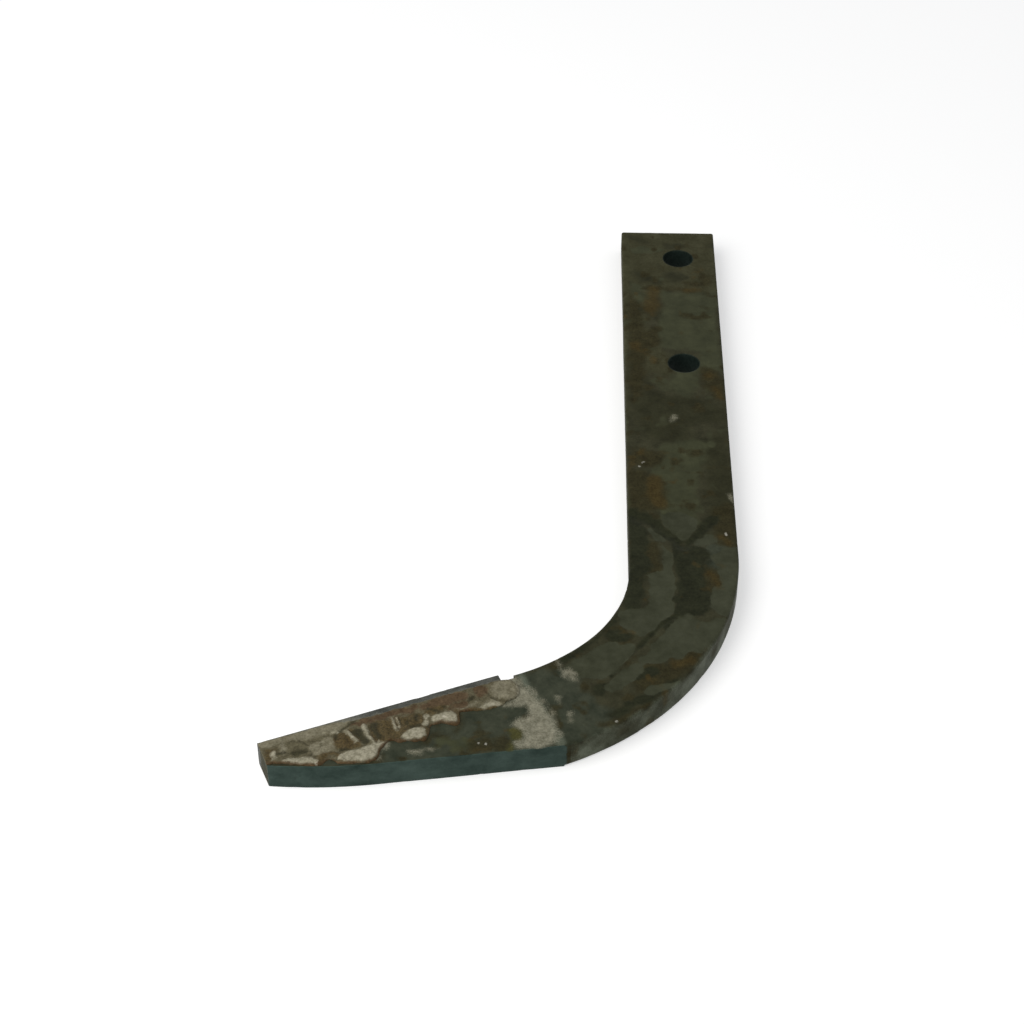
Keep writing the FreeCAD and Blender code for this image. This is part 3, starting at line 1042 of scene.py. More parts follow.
# Brown rust, most of it along the edges of the shank and across the bend.
BROWN_RUST = (
    Patch(((-22, 8), (-19, 6), (-17, 0), (-15, -22), (-16, -40), (-17, -56), (-22, -60))),
    Streak(((-5, 14.5), (6, 14.5)), 2.0),
    Patch(((-20, -17), (-12, -15), (-9, -22), (-12, -28), (-19, -30))),
    Patch(((-21, -95), (-14, -96), (-9, -98), (-12, -104), (-21, -104))),
    Patch(((-24, -108), (-15, -110), (-10, -116), (-9, -124), (-12, -130), (-20, -131), (-24, -128))),
    Patch(((6, -41), (12, -42), (15, -50), (15, -62), (10, -58), (7, -50))),
    Patch(((8, -130), (15, -128), (15, -150), (10, -150), (7, -140))),
    Patch(((-20, -151), (-14, -150), (-12, -158), (-13, -166), (-18, -166))),
    Patch(((1, -163), (7, -164), (11, -168), (10, -174), (4, -178), (1, -172))),
    Patch(((-33, -195), (-27, -196), (-23, -200), (-26, -204), (-33, -200))),
    Patch(((-26, -218), (-18, -213), (-11, -213), (-6, -209), (0, -204), (3, -200), (3, -207),
           (-3, -215), (-8, -221), (-14, -225), (-21, -227), (-24, -223))),
    Patch(((-35, -243), (-28, -238), (-20, -232), (-16, -229), (-19, -236), (-26, -241), (-32, -245))),
    Patch(on_arm(((14, 25), (19, 27), (20, 31), (15, 33)))),
    Patch(on_arm(((20, 25), (24, 24), (28, 27), (26, 30), (20, 30)))),
    Patch(on_arm(((55, 19), (62, 21.5), (72, 18), (86, 12), (91, 10), (90, 12), (70, 20), (58, 23)))),
    Streak(on_arm(((24, 8), (25.5, 12), (28, 17), (32, 19), (37, 17), (40, 20))), 1.6),
    Patch(((1, 20), (7, 17), (13, 19), (13, 25), (8, 30), (9, 21))),
)

# Younger, orange rust in spots.
ORANGE_RUST = (
    Patch(((-16, 2), (-12, -5), (-9, 3), (-9, 14), (-12, 17), (-14, 9))),
    Streak(((-10, 13),), 4.0),
    Patch(((-22, -24), (-18, -24), (-18, -28), (-21, -28))),
    Streak(((10, -46),), 4.0),
    Streak(((12, -54), (14, -61)), 2.5),
    Streak(((-13, -113), (-14, -120), (-12, -127)), 5.0),
    Streak(((-22, -100), (-23, -107)), 2.0),
    Streak(((5, -166), (7, -169), (8, -173)), 2.5),
    Streak(((-8, -213), (-3, -211)), 3.5),
    Streak(((10, -146), (12, -149)), 2.0),
    Streak(((3, 14), (8, 15)), 2.2),
    Streak(on_arm(((22, 29.5), (26, 29))), 1.8),
)

# Flux dried to a cream film over the heel, with wisps and drips round it.
FLUX_FILM = (
    Patch(on_arm(((0.5, 1.5), (4, 2), (5, 11), (9.5, 13), (5, 14.5), (3, 17), (4.5, 20.5), (8, 20.5),
                  (10.5, 22.5), (9, 25), (9.5, 29), (13, 31), (12, 33.5), (7, 34.5), (2.5, 36),
                  (-1, 34), (-3, 29), (-3, 24), (-2.5, 17), (-1, 11), (0, 7)))),
    Streak(on_arm(((-2, 33), (-3.5, 26), (-4, 20), (-3, 14), (-1.5, 8))), 0.5),
    Streak(on_arm(((-9, 16), (-8.5, 19))), 0.3),
    Streak(on_arm(((-9.6, 24.5), (-8.3, 28))), 0.2),
    Streak(on_arm(((-15, -2), (-15.5, 2), (-15.2, 5), (-15.6, 9))), 0.5),
    Patch(((-47, -217.5), (-45, -217), (-43.5, -219), (-43, -222.5), (-45, -222), (-46.5, -219.5))),
    Streak(on_arm(((38, 23.4), (41, 21.6), (44, 22.3), (46.5, 21))), 0.25),
    Streak(((-5, -73.5), (-5.4, -76)), 0.65),
    Streak(((14.5, -121), (15.2, -125)), 0.4),
    Patch(on_arm(((51.5, 14.8), (55.5, 17.2), (57, 20), (58, 19), (57, 16), (54, 14)))),
)

# Olive stain beside the film on the arm.
OLIVE_STAIN = (
    Patch(on_arm(((8, 24.5), (12, 24), (13, 27), (12.5, 30), (9.5, 29.5)))),
    Patch(on_arm(((13, 29), (15, 30), (16, 33), (13.5, 32.5)))),
)

# White spatter.
WHITE_SPECKS = (
    Streak(on_arm(((21.8, 27.2),)), 0.9),
    Streak(on_arm(((23.9, 26.0),)), 0.8),
    Streak(((-19.2, -105),), 1.1),
    Streak(((-18.2, -102.8), (-17.2, -102)), 0.6),
    Streak(((11.8, -143.5), (12.0, -144.6)), 0.9),
    Streak(((-29.4, -241.5),), 1.0),
)

TOP_SPREADS = {
    Coat.DRAB: Spread(DRAB_SKIN, 1.6, Grain(6.0, 29)),
    Coat.DULL: Spread(DULL_SKIN, 1.8, Grain(6.0, 30), Grain(8.0, 33), 0.72),
    Coat.PANEL: Spread(BARE_PANEL, 1.5, Grain(4.0, 36, 4), Grain(9.0, 32), 0.82),
    Coat.SCALE_AND_CREASE_SHADE: Spread(SCALE_AND_CREASE_SHADE, 1.2, Grain(3.4, 21, 4)),
    Coat.FLAKED: Spread(FLAKED, 1.1, Grain(3.4, 22, 4)),
    Coat.GREY: Spread(BLUED_GREY, 1.6, Grain(5.0, 23)),
    Coat.BROWN: Spread(BROWN_RUST, 1.5, Grain(3.0, 24, 4), Grain(5.0, 34), 0.75),
    Coat.ORANGE: Spread(ORANGE_RUST, 1.0, Grain(2.6, 25), Grain(6.0, 35), 0.95),
    Coat.OLIVE: Spread(OLIVE_STAIN, 0.8, Grain(2.0, 26)),
    Coat.FILM: Spread(FLUX_FILM, 1.0, Grain(2.4, 27, 4)),
    Coat.SPECK: Spread(WHITE_SPECKS, 0.1, Grain(1.0, 28)),
}


# ---- the bent bar


class Ring:
    """Points round the bar's section at every station, with the way that each one faces."""

    def __init__(self) -> None:
        """Begin with no points."""
        self.places: list[np.ndarray] = []
        self.facings: list[np.ndarray] = []

    def add(self, plan: np.ndarray, height: np.ndarray, facing: np.ndarray, up: float) -> None:
        """Add one point of the ring at every station.

        Args:
            plan: Where it lies in the plan, a row for each station.
            height: Its height at each station.
            facing: The way that the bar's edge faces in the plan at each station.
            up: How much the surface there faces up, from -1 to 1.
        """
        level = math.sqrt(max(0.0, 1.0 - up * up))
        self.places.append(np.column_stack([plan, height]))
        self.facings.append(np.column_stack([facing * level, np.full(len(plan), up)]))

    def stacked(self) -> tuple[np.ndarray, np.ndarray]:
        """Places and facings, stations by points by three."""
        return np.stack(self.places, 1), np.stack(self.facings, 1)


def outer_side(plan: np.ndarray) -> np.ndarray:
    """Distance from the bar's outer edge on the shank and the bend.

    Args:
        plan: Rows of two coordinates.

    Returns:
        Millimetres, positive outside the edge.
    """
    centre = np.array([SIZES.hole_edge_distance - SIZES.outer_bend_radius,
                       SIZES.end_y - SIZES.outer_straight])
    around = np.linalg.norm(plan - centre, axis=1) - SIZES.outer_bend_radius
    beside = plan[:, 0] - SIZES.hole_edge_distance
    return np.where(plan[:, 1] < centre[1], around, beside)


@dataclass
class BentBar:
    """The blade: a flat bar bent on edge, drilled, with a rebate and a ground taper.

    Attributes:
        shank_steps: Stations along the shank.
        bend_steps: Stations along the two parts of the bend.
        arm_step: Millimetres between stations on the arm.
        top_columns: Points across the top face.
        bottom_columns: Points across the underside.
        side_rows: Points up each side.
        corner_rows: Points round each rolled edge.
        cap_rows: Rows of faces across each end.
        first_run: Arm's first station past the bend.
        step_run: Half the run of the shoulder's step.
        shy: How far the ground face stays inside its line.
        rolled: Long waves of the rolled faces.
        rolled_depth: Their depth.
        dimples: Small dimples in the scale.
        dimple_depth: Their depth.
        side_share: Strength of both on the sides, beside the top.
        pits: Rust pits.
        pit_depth: Their depth.
        flake_depth: Thickness of the scale that has sprung off.
        chips: Nicks along the edges.
        nick_depth: Their depth.
        hammering: Dents, ridge and crease that bending left on the top.
        punch: Widening of the bolt holes by height, most where the punch broke in and out.
        bore_sides: Flats round each bolt hole.
        spreads: Where each coat lies on the top face.
        marked_from: Depths below the top at which the top's marks begin and are whole.
        ground_start: Where on the arm the ground face can begin.
        ground_skin: How far the ground face reaches round its edge.
        ground_crispness: How many times sharper its border is than others.
        lit_inset: How far inside the outer edge the painted light begins, at the underside.
        lit_lean: How much further out it begins at the top.
        lit_start: Plan Y at which it begins.
        lit_fade: How many times softer its border there is.
        lit_heel: Middle of the painted light's band across the heel, on the arm, and half its width.
        heel_start: Where on the arm that band takes over from the bend.
        lit_wander_grain: Wander of the painted light's border.
        lit_wander: How far it strays.
        bore_shade_reach: How far a bolt hole's painted shade reaches past its wall.
    """

    shank_steps: int = 270
    bend_steps: tuple[int, int] = (104, 60)
    arm_step: float = 0.56
    top_columns: int = 62
    bottom_columns: int = 34
    side_rows: int = 11
    corner_rows: int = 4
    cap_rows: int = 9
    first_run: float = 0.6
    step_run: float = 0.06
    shy: float = 0.01
    rolled: Grain = Grain(22.0, 11)
    rolled_depth: float = 0.16
    dimples: Grain = Grain(2.2, 12)
    dimple_depth: float = 0.07
    side_share: float = 0.35
    pits: Grain = Grain(1.3, 13, 2)
    pit_depth: float = 0.22
    flake_depth: float = 0.14
    chips: Grain = Grain(5.0, 14, 2)
    nick_depth: float = 0.6
    hammering: tuple[Relief, ...] = (
        Relief(Streak(((-22, -134), (-15, -139), (-9, -145), (-4, -150)), 4.0), -0.55, 5.0),
        Relief(Streak(((-4, -150), (1, -146), (5, -141), (12, -133)), 4.0), -0.45, 5.0),
        Relief(Streak(((-8, -189), (-13, -194), (-17, -200), (-22, -206), (-27, -213),
                       (-31, -221)), 0.9), -0.3, 1.2),
        Relief(Streak(((-5, -156), (-4, -170), (-5, -186)), 6.0), 0.15, 5.0),
    )
    punch: tuple[Point, ...] = (
        (0.6, 10.6), (0.15, 9.9), (0.04, 9.5), (0.0, 8.6), (0.0, 5.0), (0.06, 1.4), (0.3, 0.3),
        (0.8, -0.5),
    )
    bore_sides: int = 96
    spreads: dict[Coat, Spread] = field(default_factory=lambda: TOP_SPREADS)
    marked_from: Point = (1.6, 0.7)
    ground_start: float = -9.0
    ground_skin: float = 0.3
    ground_crispness: float = 4.0
    lit_inset: float = 1.0
    lit_lean: float = 1.6
    lit_start: float = -150.0
    lit_fade: float = 6.0
    lit_heel: Point = (-1.0, 4.0)
    heel_start: float = -4.0
    lit_wander_grain: Grain = Grain(5.0, 71, 4)
    lit_wander: float = 1.1
    bore_shade_reach: float = 0.3

    def edges(self) -> tuple[np.ndarray, np.ndarray, np.ndarray, np.ndarray]:
        """Inner and outer edge at every station, and how each is rounded there.

        Returns:
            Rows of inner points, rows of outer points, and the rounding of each edge: as rolled on
            the bar, and as ground past the shoulder and past the heel of the taper.
        """
        inner = PlanWalk((SIZES.hole_edge_distance - SIZES.width, SIZES.end_y))
        inner.straight(SIZES.inner_straight, self.shank_steps)
        inner.bend(*SIZES.inner_bend, self.bend_steps[0])
        inner.bend(*SIZES.inner_runout, self.bend_steps[1])
        outer = PlanWalk((SIZES.hole_edge_distance, SIZES.end_y))
        outer.straight(SIZES.outer_straight, self.shank_steps)
        outer.bend(SIZES.outer_bend_radius, SIZES.inner_bend[1], self.bend_steps[0])
        outer.bend(SIZES.outer_bend_radius, SIZES.inner_runout[1], self.bend_steps[1])
        rolled_outer, heel = self.grind(ARM.from_plan(outer.points()))

        shoulder = SIZES.shoulder_run
        steps = round((SIZES.tip_x - shoulder) / self.arm_step)
        start = [self.first_run, shoulder - self.step_run, shoulder + self.step_run]
        along = np.concatenate([start, np.linspace(shoulder, SIZES.tip_x, steps + 1)[1:]])
        depth = np.where(along < shoulder, 0.0, SIZES.rebate_depth)
        arm_inner = ARM.to_plan(np.column_stack([along, depth]))
        arm_outer = ARM.to_plan(np.column_stack([along, outer_depth(along) - self.shy]))
        before = len(inner.places)
        station = np.arange(before + len(along))
        rounding = [np.where(station < last, SIZES.rolled_edge, SIZES.ground_edge)
                    for last in (before + 2, heel)]
        return (np.vstack([inner.points(), arm_inner]),
                np.vstack([ARM.to_plan(rolled_outer), arm_outer]), *rounding)

    def grind(self, outer: np.ndarray) -> tuple[np.ndarray, int]:
        """Cut the bend's outer edge back to the line of the taper.

        Args:
            outer: Points of the edge in the arm frame.

        Returns:
            The points, those past the heel on the taper, and which of them is the heel itself.
        """
        past = outer[:, 1] - outer_depth(outer[:, 0])
        heel = int(np.argmax(past > 0.0))
        share = past[heel - 1] / (past[heel - 1] - past[heel])
        ground = outer.copy()
        ground[heel] = outer[heel - 1] + (outer[heel] - outer[heel - 1]) * share
        ground[heel + 1:, 1] = outer_depth(ground[heel + 1:, 0]) - self.shy
        return ground, heel

    def section(self) -> tuple[np.ndarray, np.ndarray]:
        """Lay rings of points round the bar, before wear.

        Returns:
            The points, stations by points by three, and the way that each one faces.
        """
        inner, outer, inner_round, outer_round = self.edges()
        across = outer - inner
        width = np.linalg.norm(across, axis=1)
        across /= width[:, None]
        facings = []
        for edge, away in ((inner, -across), (outer, across)):
            run = np.gradient(edge, axis=0)
            side = np.column_stack([run[:, 1], -run[:, 0]])
            side *= np.sign((side * away).sum(1))[:, None]
            facings.append(side / np.linalg.norm(side, axis=1)[:, None])
        inner_facing, outer_facing = facings
        thick = SIZES.thickness

        ring = Ring()
        turns = [math.radians(90.0 * row / self.corner_rows) for row in range(self.corner_rows + 1)]

        def corner(edge: np.ndarray, way: np.ndarray, facing: np.ndarray, radius: np.ndarray,
                   top: bool, turn: float) -> None:
            """Add one point of a rounded edge at every station.

            Args:
                edge: The edge in the plan.
                way: From the edge into the bar.
                facing: The way that the side at the edge faces.
                radius: Of the rounding at each station.
                top: Whether it is an edge of the top, not of the underside.
                turn: Radians from the side, at 0, to the flat face.
            """
            inset = (radius * (1.0 - math.cos(turn)))[:, None] * way
            drop = radius * (1.0 - math.sin(turn))
            height = thick - drop if top else drop
            ring.add(edge + inset, height, facing, math.sin(turn) if top else -math.sin(turn))

        def flat(share: float) -> np.ndarray:
            """Places at a share of the way across the flat face, one for each station."""
            step = inner_round + (width - inner_round - outer_round) * share
            return inner + across * step[:, None]

        for row in range(1, self.side_rows):
            height = inner_round + (thick - 2 * inner_round) * row / self.side_rows
            ring.add(inner, height, inner_facing, 0.0)
        for turn in turns:
            corner(inner, across, inner_facing, inner_round, True, turn)
        for column in range(1, self.top_columns):
            ring.add(flat(column / self.top_columns), np.full(len(inner), thick), across, 1.0)
        for turn in turns[::-1]:
            corner(outer, -across, outer_facing, outer_round, True, turn)
        for row in range(self.side_rows - 1, 0, -1):
            height = outer_round + (thick - 2 * outer_round) * row / self.side_rows
            ring.add(outer, height, outer_facing, 0.0)
        for turn in turns:
            corner(outer, -across, outer_facing, outer_round, False, turn)
        for column in range(self.bottom_columns - 1, 0, -1):
            ring.add(flat(column / self.bottom_columns), np.zeros(len(inner)), across, -1.0)
        for turn in turns[::-1]:
            corner(inner, across, inner_facing, inner_round, False, turn)
        return ring.stacked()

    def wear(self, places: np.ndarray, facings: np.ndarray) -> np.ndarray:
        """How far the real surface lies below the rolled one.

        Args:
            places: Rows of three coordinates.
            facings: The way that the surface faces at each.

        Returns:
            Millimetres, never less than nothing.
        """
        top = ease(facings[:, 2], 0.2, 0.9)
        edge = 1.0 - np.maximum(np.abs(facings[:, 2]), 1.0 - np.abs(facings[:, 2]))
        depth = (self.rolled_depth * self.rolled.lifted(places)
                 + self.dimple_depth * self.dimples.lifted(places))
        depth *= self.side_share + (1.0 - self.side_share) * top
        rust = ease(self.spreads[Coat.BROWN].depth(places, top), -1.5, 1.5)
        depth += self.pit_depth * rust * np.clip(self.pits.at(places) - 0.1, 0.0, 1.0)
        flaked = ease(self.spreads[Coat.FLAKED].depth(places, top), -0.4, 0.4)
        depth += self.flake_depth * flaked
        depth += self.nick_depth * edge * np.clip(self.chips.at(places) - 0.45, 0.0, 1.0)
        for relief in self.hammering:
            depth -= top * relief.at(places[:, :2])
        return np.maximum(depth, 0.0)

    def drill(self) -> bpy.types.Object:
        """Make the cutter for both bolt holes.

        Returns:
            One mesh object, to be cut out of the bar and then removed.
        """
        turns = np.linspace(0.0, 2.0 * math.pi, self.bore_sides, endpoint=False)
        cutters = []
        for side in (1.0, -1.0):
            middle = side * SIZES.hole_spacing / 2
            rings = []
            for wider, height in self.punch:
                reach = SIZES.hole_radius + wider
                rings.append([(reach * math.cos(turn), reach * math.sin(turn) + middle, height)
                              for turn in turns])
            cutters.append(loft(np.array(rings), 2))
        return make_object("drill", cutters[0].joined(cutters[1]))

    def build(self) -> bpy.types.Object:
        """Make the worn bar and cut its bolt holes.

        Returns:
            The mesh object, without its finish.
        """
        places, facings = self.section()
        shape = places.shape
        flat_places, flat_facings = places.reshape(-1, 3), facings.reshape(-1, 3)
        worn = flat_places - flat_facings * self.wear(flat_places, flat_facings)[:, None]
        blade = make_object("worn_blade", loft(worn.reshape(shape), self.cap_rows))
        drill = self.drill()
        cut = blade.modifiers.new("bolt_holes", "BOOLEAN")
        cut.operation = "DIFFERENCE"
        cut.solver = "EXACT"
        cut.object = drill
        graph = bpy.context.evaluated_depsgraph_get()
        drilled = bpy.data.meshes.new_from_object(blade.evaluated_get(graph))
        blade.modifiers.clear()
        blade.data = drilled
        bpy.data.objects.remove(drill)
        return blade

    def ground_depth(self, arm: np.ndarray) -> np.ndarray:
        """Depth inside the face that was ground along the arm.

        Args:
            arm: Rows of two coordinates in the arm frame.

        Returns:
            Millimetres inside its border.
        """
        past = arm[:, 1] - outer_depth(arm[:, 0]) + self.ground_skin
        return np.where(arm[:, 0] > self.ground_start, past, -Mark.REACH)

    def lit_side_depth(self, places: np.ndarray, arm: np.ndarray) -> np.ndarray:
        """Depth inside the paler skin painted as light on the bend's outer side and across the heel.

        Args:
            places: Rows of three coordinates.
            arm: The same places in the arm frame, rows of two.

        Returns:
            Millimetres inside its wandering border.
        """
        thick = SIZES.thickness
        outside = outer_side(places[:, :2]) + self.lit_inset - self.lit_lean * places[:, 2] / thick
        bend = np.minimum(outside, (self.lit_start - places[:, 1]) / self.lit_fade)
        off_top = ease(-places[:, 2], -thick - 0.5, -thick + 0.5)
        middle, reach = self.lit_heel
        heel = reach * (1.0 - off_top) - np.abs(arm[:, 0] - middle)
        lit_area = np.where(arm[:, 0] > self.heel_start, heel, bend)
        stray = self.lit_wander_grain.at(np.column_stack([arm[:, 0], places[:, 2]]))
        return lit_area + self.lit_wander * stray

    def bore_shade_depth(self, places: np.ndarray) -> np.ndarray:
        """Depth inside the painted shade of the nearer bolt hole.

        Args:
            places: Rows of three coordinates.

        Returns:
            Millimetres, positive at the hole's wall.
        """
        from_centres = [np.hypot(places[:, 0], places[:, 1] - side * SIZES.hole_spacing / 2)
                        for side in (1.0, -1.0)]
        return SIZES.hole_radius + self.bore_shade_reach - np.minimum(*from_centres)

    def dress(self, blade: bpy.types.Object) -> None:
        """Say where each coat lies and give the blade its finish.

        Args:
            blade: The mesh object.
        """
        places = places_of(blade)
        marked, whole = (SIZES.thickness - below for below in self.marked_from)
        top = ease(places[:, 2], marked, whole)
        for coat, spread in self.spreads.items():
            store(blade, coat, spread.depth(places, top))
        arm = ARM.from_plan(places[:, :2])
        store(blade, Coat.GROUND, self.ground_depth(arm) * self.ground_crispness)
        # Painted light on the bend's outer side and across the heel.
        store(blade, Coat.LIT_SIDE, self.lit_side_depth(places, arm))
        # Painted shade in the bolt holes.
        store(blade, Coat.BORE_SHADE, self.bore_shade_depth(places))
        blade.data.materials.clear()
        blade.data.materials.append(ROLLED_STEEL.build())
        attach(blade, "root")
        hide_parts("blade")


# ---- the wear strip


@dataclass
class WearStrip:
    """The hard strip that is brazed along the inner edge of the arm.

    Attributes:
        thickness: Seat to wearing face, in millimetres.
        seat: Depth of its seat below the inner edge line.
        edge_break: Ground edges of the wearing face.
        step: Millimetres between stations along it.
        rows: Points across its top, and twice as many up its faces.
        cap_rows: Rows of faces across each end.
        back_break: Edges of the seat.
        sintered: Long waves of the sintered faces.
        sintered_depth: Their depth.
        grit: The grain of the faces.
        grit_depth: Its depth.
        chips: Nicks along the long edges of the wearing face.
        chip_depth: Their depth.
        chip_reach: How far they reach up the face and across the top.
        chip_core: How far in from the edge they are at their deepest.
        top_from: Heights between which a face turns into the top.
        film_edge: Depth at which the flux film begins near the heel.
        film_spread: How much nearer the wearing face it begins near the tip.
        film_run: Places on the arm between which it spreads out.
        film_hang: Height over the top from which its depth down the faces counts.
        film_stray: Wander of its border, and how far it strays.
        shaded_edge: Width of the painted shade along the wearing edge.
        shaded_heel: Length of the painted shade at the heel end.
        shade_stray: Wander of their border, and how far it strays.
    """

    thickness: float = 3.2
    seat: float = 1.5
    edge_break: float = 0.3
    step: float = 0.6
    rows: int = 9
    cap_rows: int = 5
    back_break: float = 0.1
    sintered: Grain = Grain(6.0, 41)
    sintered_depth: float = 0.05
    grit: Grain = Grain(1.1, 42)
    grit_depth: float = 0.03
    chips: Grain = Grain(3.2, 43, 2)
    chip_depth: float = 0.5
    chip_reach: Point = (1.4, 0.7)
    chip_core: float = 0.1
    top_from: Point = (9.2, 9.8)
    film_edge: float = 1.0
    film_spread: float = 2.9
    film_run: Point = (52.0, 64.0)
    film_hang: float = 1.2
    film_stray: tuple[Grain, float] = (Grain(2.4, 45), 0.7)
    shaded_edge: float = 0.3
    shaded_heel: float = 0.4
    shade_stray: tuple[Grain, float] = (Grain(1.8, 46), 0.5)

    @property
    def face(self) -> float:
        """Depth of the wearing face, which is negative as it stands proud of the bar."""
        return self.seat - self.thickness

    def section(self) -> tuple[np.ndarray, np.ndarray]:
        """Lay rings of points round the strip, before wear.

        Returns:
            The points in the arm frame, stations by points by three, and the way that each faces.
        """
        steps = round((SIZES.tip_x - SIZES.heel_x) / self.step)
        along = np.linspace(SIZES.heel_x, SIZES.tip_x, steps + 1)
        thick, small, back = SIZES.thickness, self.edge_break, self.back_break
        rises = np.linspace(0.0, 1.0, 2 * self.rows + 1)
        inmost = self.face + small
        across = inmost + (self.seat - back - inmost) * np.linspace(0.0, 1.0, self.rows + 1)
        outline = [(self.face, small + (thick - 2 * small) * rise, -1.0, 0.0) for rise in rises]
        outline += [(depth, thick, 0.0, 1.0) for depth in across]
        outline += [(self.seat, back + (thick - 2 * back) * rise, 1.0, 0.0) for rise in rises[::-1]]
        outline += [(depth, 0.0, 0.0, -1.0) for depth in across[::-1]]
        ring = Ring()
        for depth, height, aside, up in outline:
            plan = np.column_stack([along, np.full(len(along), depth)])
            facing = np.tile([0.0, aside], (len(along), 1))
            ring.add(plan, np.full(len(along), height), facing, up)
        return ring.stacked()

    def build(self) -> bpy.types.Object:
        """Make the strip, a little uneven and chipped along its wearing edges.

        Returns:
            The mesh object, without its finish.
        """
        places, facings = self.section()
        shape = places.shape
        flat, facing = places.reshape(-1, 3), facings.reshape(-1, 3)
        depth = (self.sintered_depth * self.sintered.lifted(flat)
                 + self.grit_depth * self.grit.lifted(flat))
        up, across = self.chip_reach
        from_rim = np.minimum(flat[:, 2], SIZES.thickness - flat[:, 2])
        near_edge = ease(-from_rim, -up, -self.chip_core)
        near_face = ease(self.face - flat[:, 1], -across, -self.chip_core)
        nicks = np.clip(self.chips.at(flat) - 0.4, 0.0, 1.0)
        depth += self.chip_depth * near_edge * near_face * nicks
        worn = flat - facing * depth[:, None]
        worn[:, :2] = ARM.to_plan(worn[:, :2])
        return make_object("carbide_strip", loft(worn.reshape(shape), self.cap_rows))

    def dress(self, strip: bpy.types.Object) -> None:
        """Dust the top with flux, paint shade on the wearing edge and heel end, and add the finish.

        Args:
            strip: The mesh object.
        """
        places = places_of(strip)
        arm = ARM.from_plan(places[:, :2])
        inward = np.column_stack([arm, places[:, 2]])
        on_top = ease(places[:, 2], *self.top_from)
        near_braze = arm[:, 1] - self.film_edge + self.film_spread * ease(arm[:, 0], *self.film_run)
        down_face = places[:, 2] - SIZES.thickness - self.film_hang
        grain, stray = self.film_stray
        store(strip, Coat.FILM, np.where(on_top > 0.5, near_braze, down_face) + stray * grain.at(inward))
        # Painted shade along the top's wearing edge and at the heel end.
        edge = self.shaded_edge - (arm[:, 1] - self.face) - 3.0 * (1.0 - on_top)
        heel = SIZES.heel_x + self.shaded_heel - arm[:, 0]
        grain, stray = self.shade_stray
        store(strip, Coat.HOLLOW_SHADE, np.maximum(edge, heel) + stray * grain.at(inward))
        strip.data.materials.append(CEMENTED_CARBIDE.build())
        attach(strip, "root")
        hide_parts("wear_strip")


# ---- the braze and its flux


